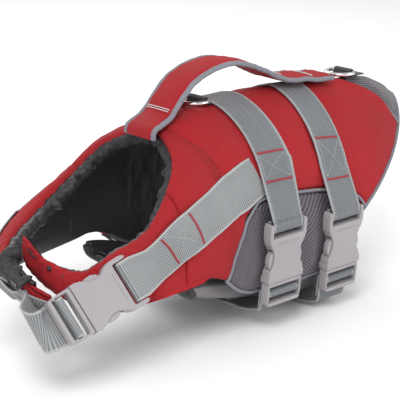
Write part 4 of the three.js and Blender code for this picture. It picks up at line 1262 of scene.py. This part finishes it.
HALF_HANDLE, HANDLE_THICK = 18.0, 5.0
HANDLE_COLUMNS = np.array([-1, -0.97, -0.9, -0.75, -0.5, -0.25, 0, 0.25, 0.5, 0.75, 0.9, 0.97, 1])
CROWN = 0.9
ACROSS = np.array([0, 1.0, 0])
TOP_AT = 8 / (len(HANDLE) - 1)  # the handle's highest point
TACKS = {"front": (14.5, 16.0), "rear": (152.0, 153.5, 196.0, 197.5)}  # x of the rows of stitches
PARTS = {"front": (0.0, TOP_AT, 13.0, 34.0), "rear": (TOP_AT, 1.0, 156.0, 128.0)}
for word, (t0, t1, start_x, end_x) in PARTS.items():
    t = np.linspace(t0, t1, 150)
    line = handle_line(t)
    ahead, behind = (handle_line(np.clip(t + step, 0, 1)) for step in (STEP, -STEP))
    d = unit(ahead - behind)
    up = np.stack([-d[:, 2], np.zeros(len(d)), d[:, 0]], -1)
    u = HANDLE_COLUMNS * HALF_HANDLE
    base = line[:, None] + ACROSS * u[None, :, None]
    blended = ("jacket", "handle", row([start_x, 0, 18]), row([end_x, 0, 18]))
    noise_lift = noise_grid(base, 0.06, 81)
    run = lengths_along(line[:, None], 0)[:, 0]
    round_off = np.sqrt(np.maximum(1 - (np.abs(u) / (HALF_HANDLE + 0.6)) ** 6, 0))[None, :]
    crown = CROWN * (1 - (u / HALF_HANDLE) ** 2)[None, :]
    ripples = 0.25 * np.sin(run / 2.6)[:, None] * np.exp(-(HALF_HANDLE - np.abs(u)) / 3.5)[None, :]
    middle = HANDLE_THICK / 2
    top = base + up[:, None] * (middle + middle * round_off + crown + 0.8 * noise_lift + ripples)[..., None]
    under = base + up[:, None] * (middle - middle * round_off + 0.4 * noise_lift)[..., None]
    strip = two_faced(f"handle_{word}", top, under, u[None], run[:, None], RED)
    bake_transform(strip)
    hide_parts(f"handle_foot_{word}", "handle_arch")
    for tag, sign in (("left", -1), ("right", 1)):
        path = line + up * middle + np.array([0, sign * (HALF_HANDLE + 0.9), 0])
        path = path + up * (noise_grid(path[:, None], 0.1, 83)[:, 0] * 0.6)[:, None]
        edge = tube(f"handle_{word}_piping_{tag}", path, 2.5, PIPING, 12)
        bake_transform(edge)
        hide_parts(f"handle_edge_{tag}")
    rows = []
    for x in TACKS[word]:
        i = int(np.argmin(np.abs(line[:, 0] - x)))
        across_u = np.linspace(-15.5, 15.5, 26)
        centre = line[i] + up[i] * (HANDLE_THICK + 0.75)
        path = centre + ACROSS * across_u[:, None]
        path = path + up[i] * (CROWN * (1 - (across_u / HALF_HANDLE) ** 2))[:, None]
        rows.append((path, np.repeat(up[i][None], len(path), 0)))
    tack = dashes(f"handle_tack_{word}", rows, WHITE_THREAD, None, 0.5, 1.7, 1.8)
    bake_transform(tack)

# ------------------------------------------------------------------ rings and their tabs
TAB_WIDTH, RING_RADIUS = 22.0, 2.0
RINGS = (("front", (61, 0, 19), 14.6), ("rear", (262, 0, 16.4), 12.0))  # pivot, and z under the tab
for word, pivot, floor_z in RINGS:
    pivot = np.array(pivot, float)
    half, reach = 15.0, 20.0
    outline = [[0, y] for y in np.linspace(-half + 3, half - 3, 9)]
    outline += [[-0.25, half - 1.9], [-0.9, half - 0.9], [-1.9, half - 0.25], [-3, half]]
    for a in np.linspace(0.5, -0.5, 33)[2:-2] * math.pi:
        outline.append([-(reach - half) - half * math.cos(a), half * math.sin(a)])
    outline += [[-3, -half], [-1.9, -half + 0.25], [-0.9, -half + 0.9], [-0.25, -half + 1.9]]
    path = np.array([[x, y, 0] for x, y in outline]) + pivot
    dress(tube(f"{word}_d_ring", path, RING_RADIUS, STEEL, 18, closed=True), f"{word}_ring", [f"{word}_ring"])
    radius = WRAP
    down = floor_z - pivot[2] + THICK / 2
    line = [[radius + 16, down - 0.3], [radius + 9, down], [radius + 4.5, down], [radius + 1.2, down + 0.4]]
    line += [[radius * math.cos(a), radius * math.sin(a)] for a in np.linspace(0, math.pi, 11)]
    line += [[-radius - 1.2, down + 0.4], [-radius - 4.5, down]]
    line = np.array(line)
    d = unit(np.gradient(line, axis=0))
    normal = np.stack([d[:, 1], np.zeros(len(d)), -d[:, 0]], -1)
    start = np.stack([line[:, 0], np.zeros(len(line)), line[:, 1]], -1) + pivot - normal * THICK / 2
    grid = start[:, None] + ACROSS * (COLUMNS * TAB_WIDTH / 2)[None, :, None]
    ribbon(f"{word}_d_tab", grid, np.repeat(normal[:, None], len(COLUMNS), 1), BLACK_WEBBING, "jacket",
           width=TAB_WIDTH, replaces=[f"{word}_ring_tab"], seed=90, sag=0.1)

# ------------------------------------------------------------------ the adjuster on the chest strap
ADJUSTER_AT = (2.3, 1.0)  # station and v
ADJUSTER_THICK = 3.4
band = bands["right"]
at = run_at(band, surface("right", *ADJUSTER_AT))
point, normal = on_band(band, [0.0, 16.0], [at, at])
ahead, _ = on_band(band, [0.0], [at + 4])
axis = unit(ahead[0] - point[0])
centre = point[0] + normal[0] * 2.2
slots = [
    rounded([(-19.5, low), (19.5, low), (19.5, high), (-19.5, high)], 1.4)
    for low, high in ((-9.4, -2.4), (2.4, 9.4))
]
adjuster = plate(rounded([(-24, -13), (24, -13), (24, 13), (-24, 13)], 5), ADJUSTER_THICK, 1.2, slots)
adjuster_place = place_of(centre, axis, normal[0])
finish_part(adjuster, "chest_adjuster", adjuster_place, "jacket")
half_hump = [[22, -2.6], [12, -2.2], [8, -0.5], [3.6, 2.6]]
hump = [[-y, z] for y, z in half_hump] + [[0, 3.3]] + half_hump[::-1]
ribbon("chest_adjuster_loop", *bent(hump, adjuster_place), PALE_WEBBING, "jacket", 4, FREE_WIDTH, seed=92)
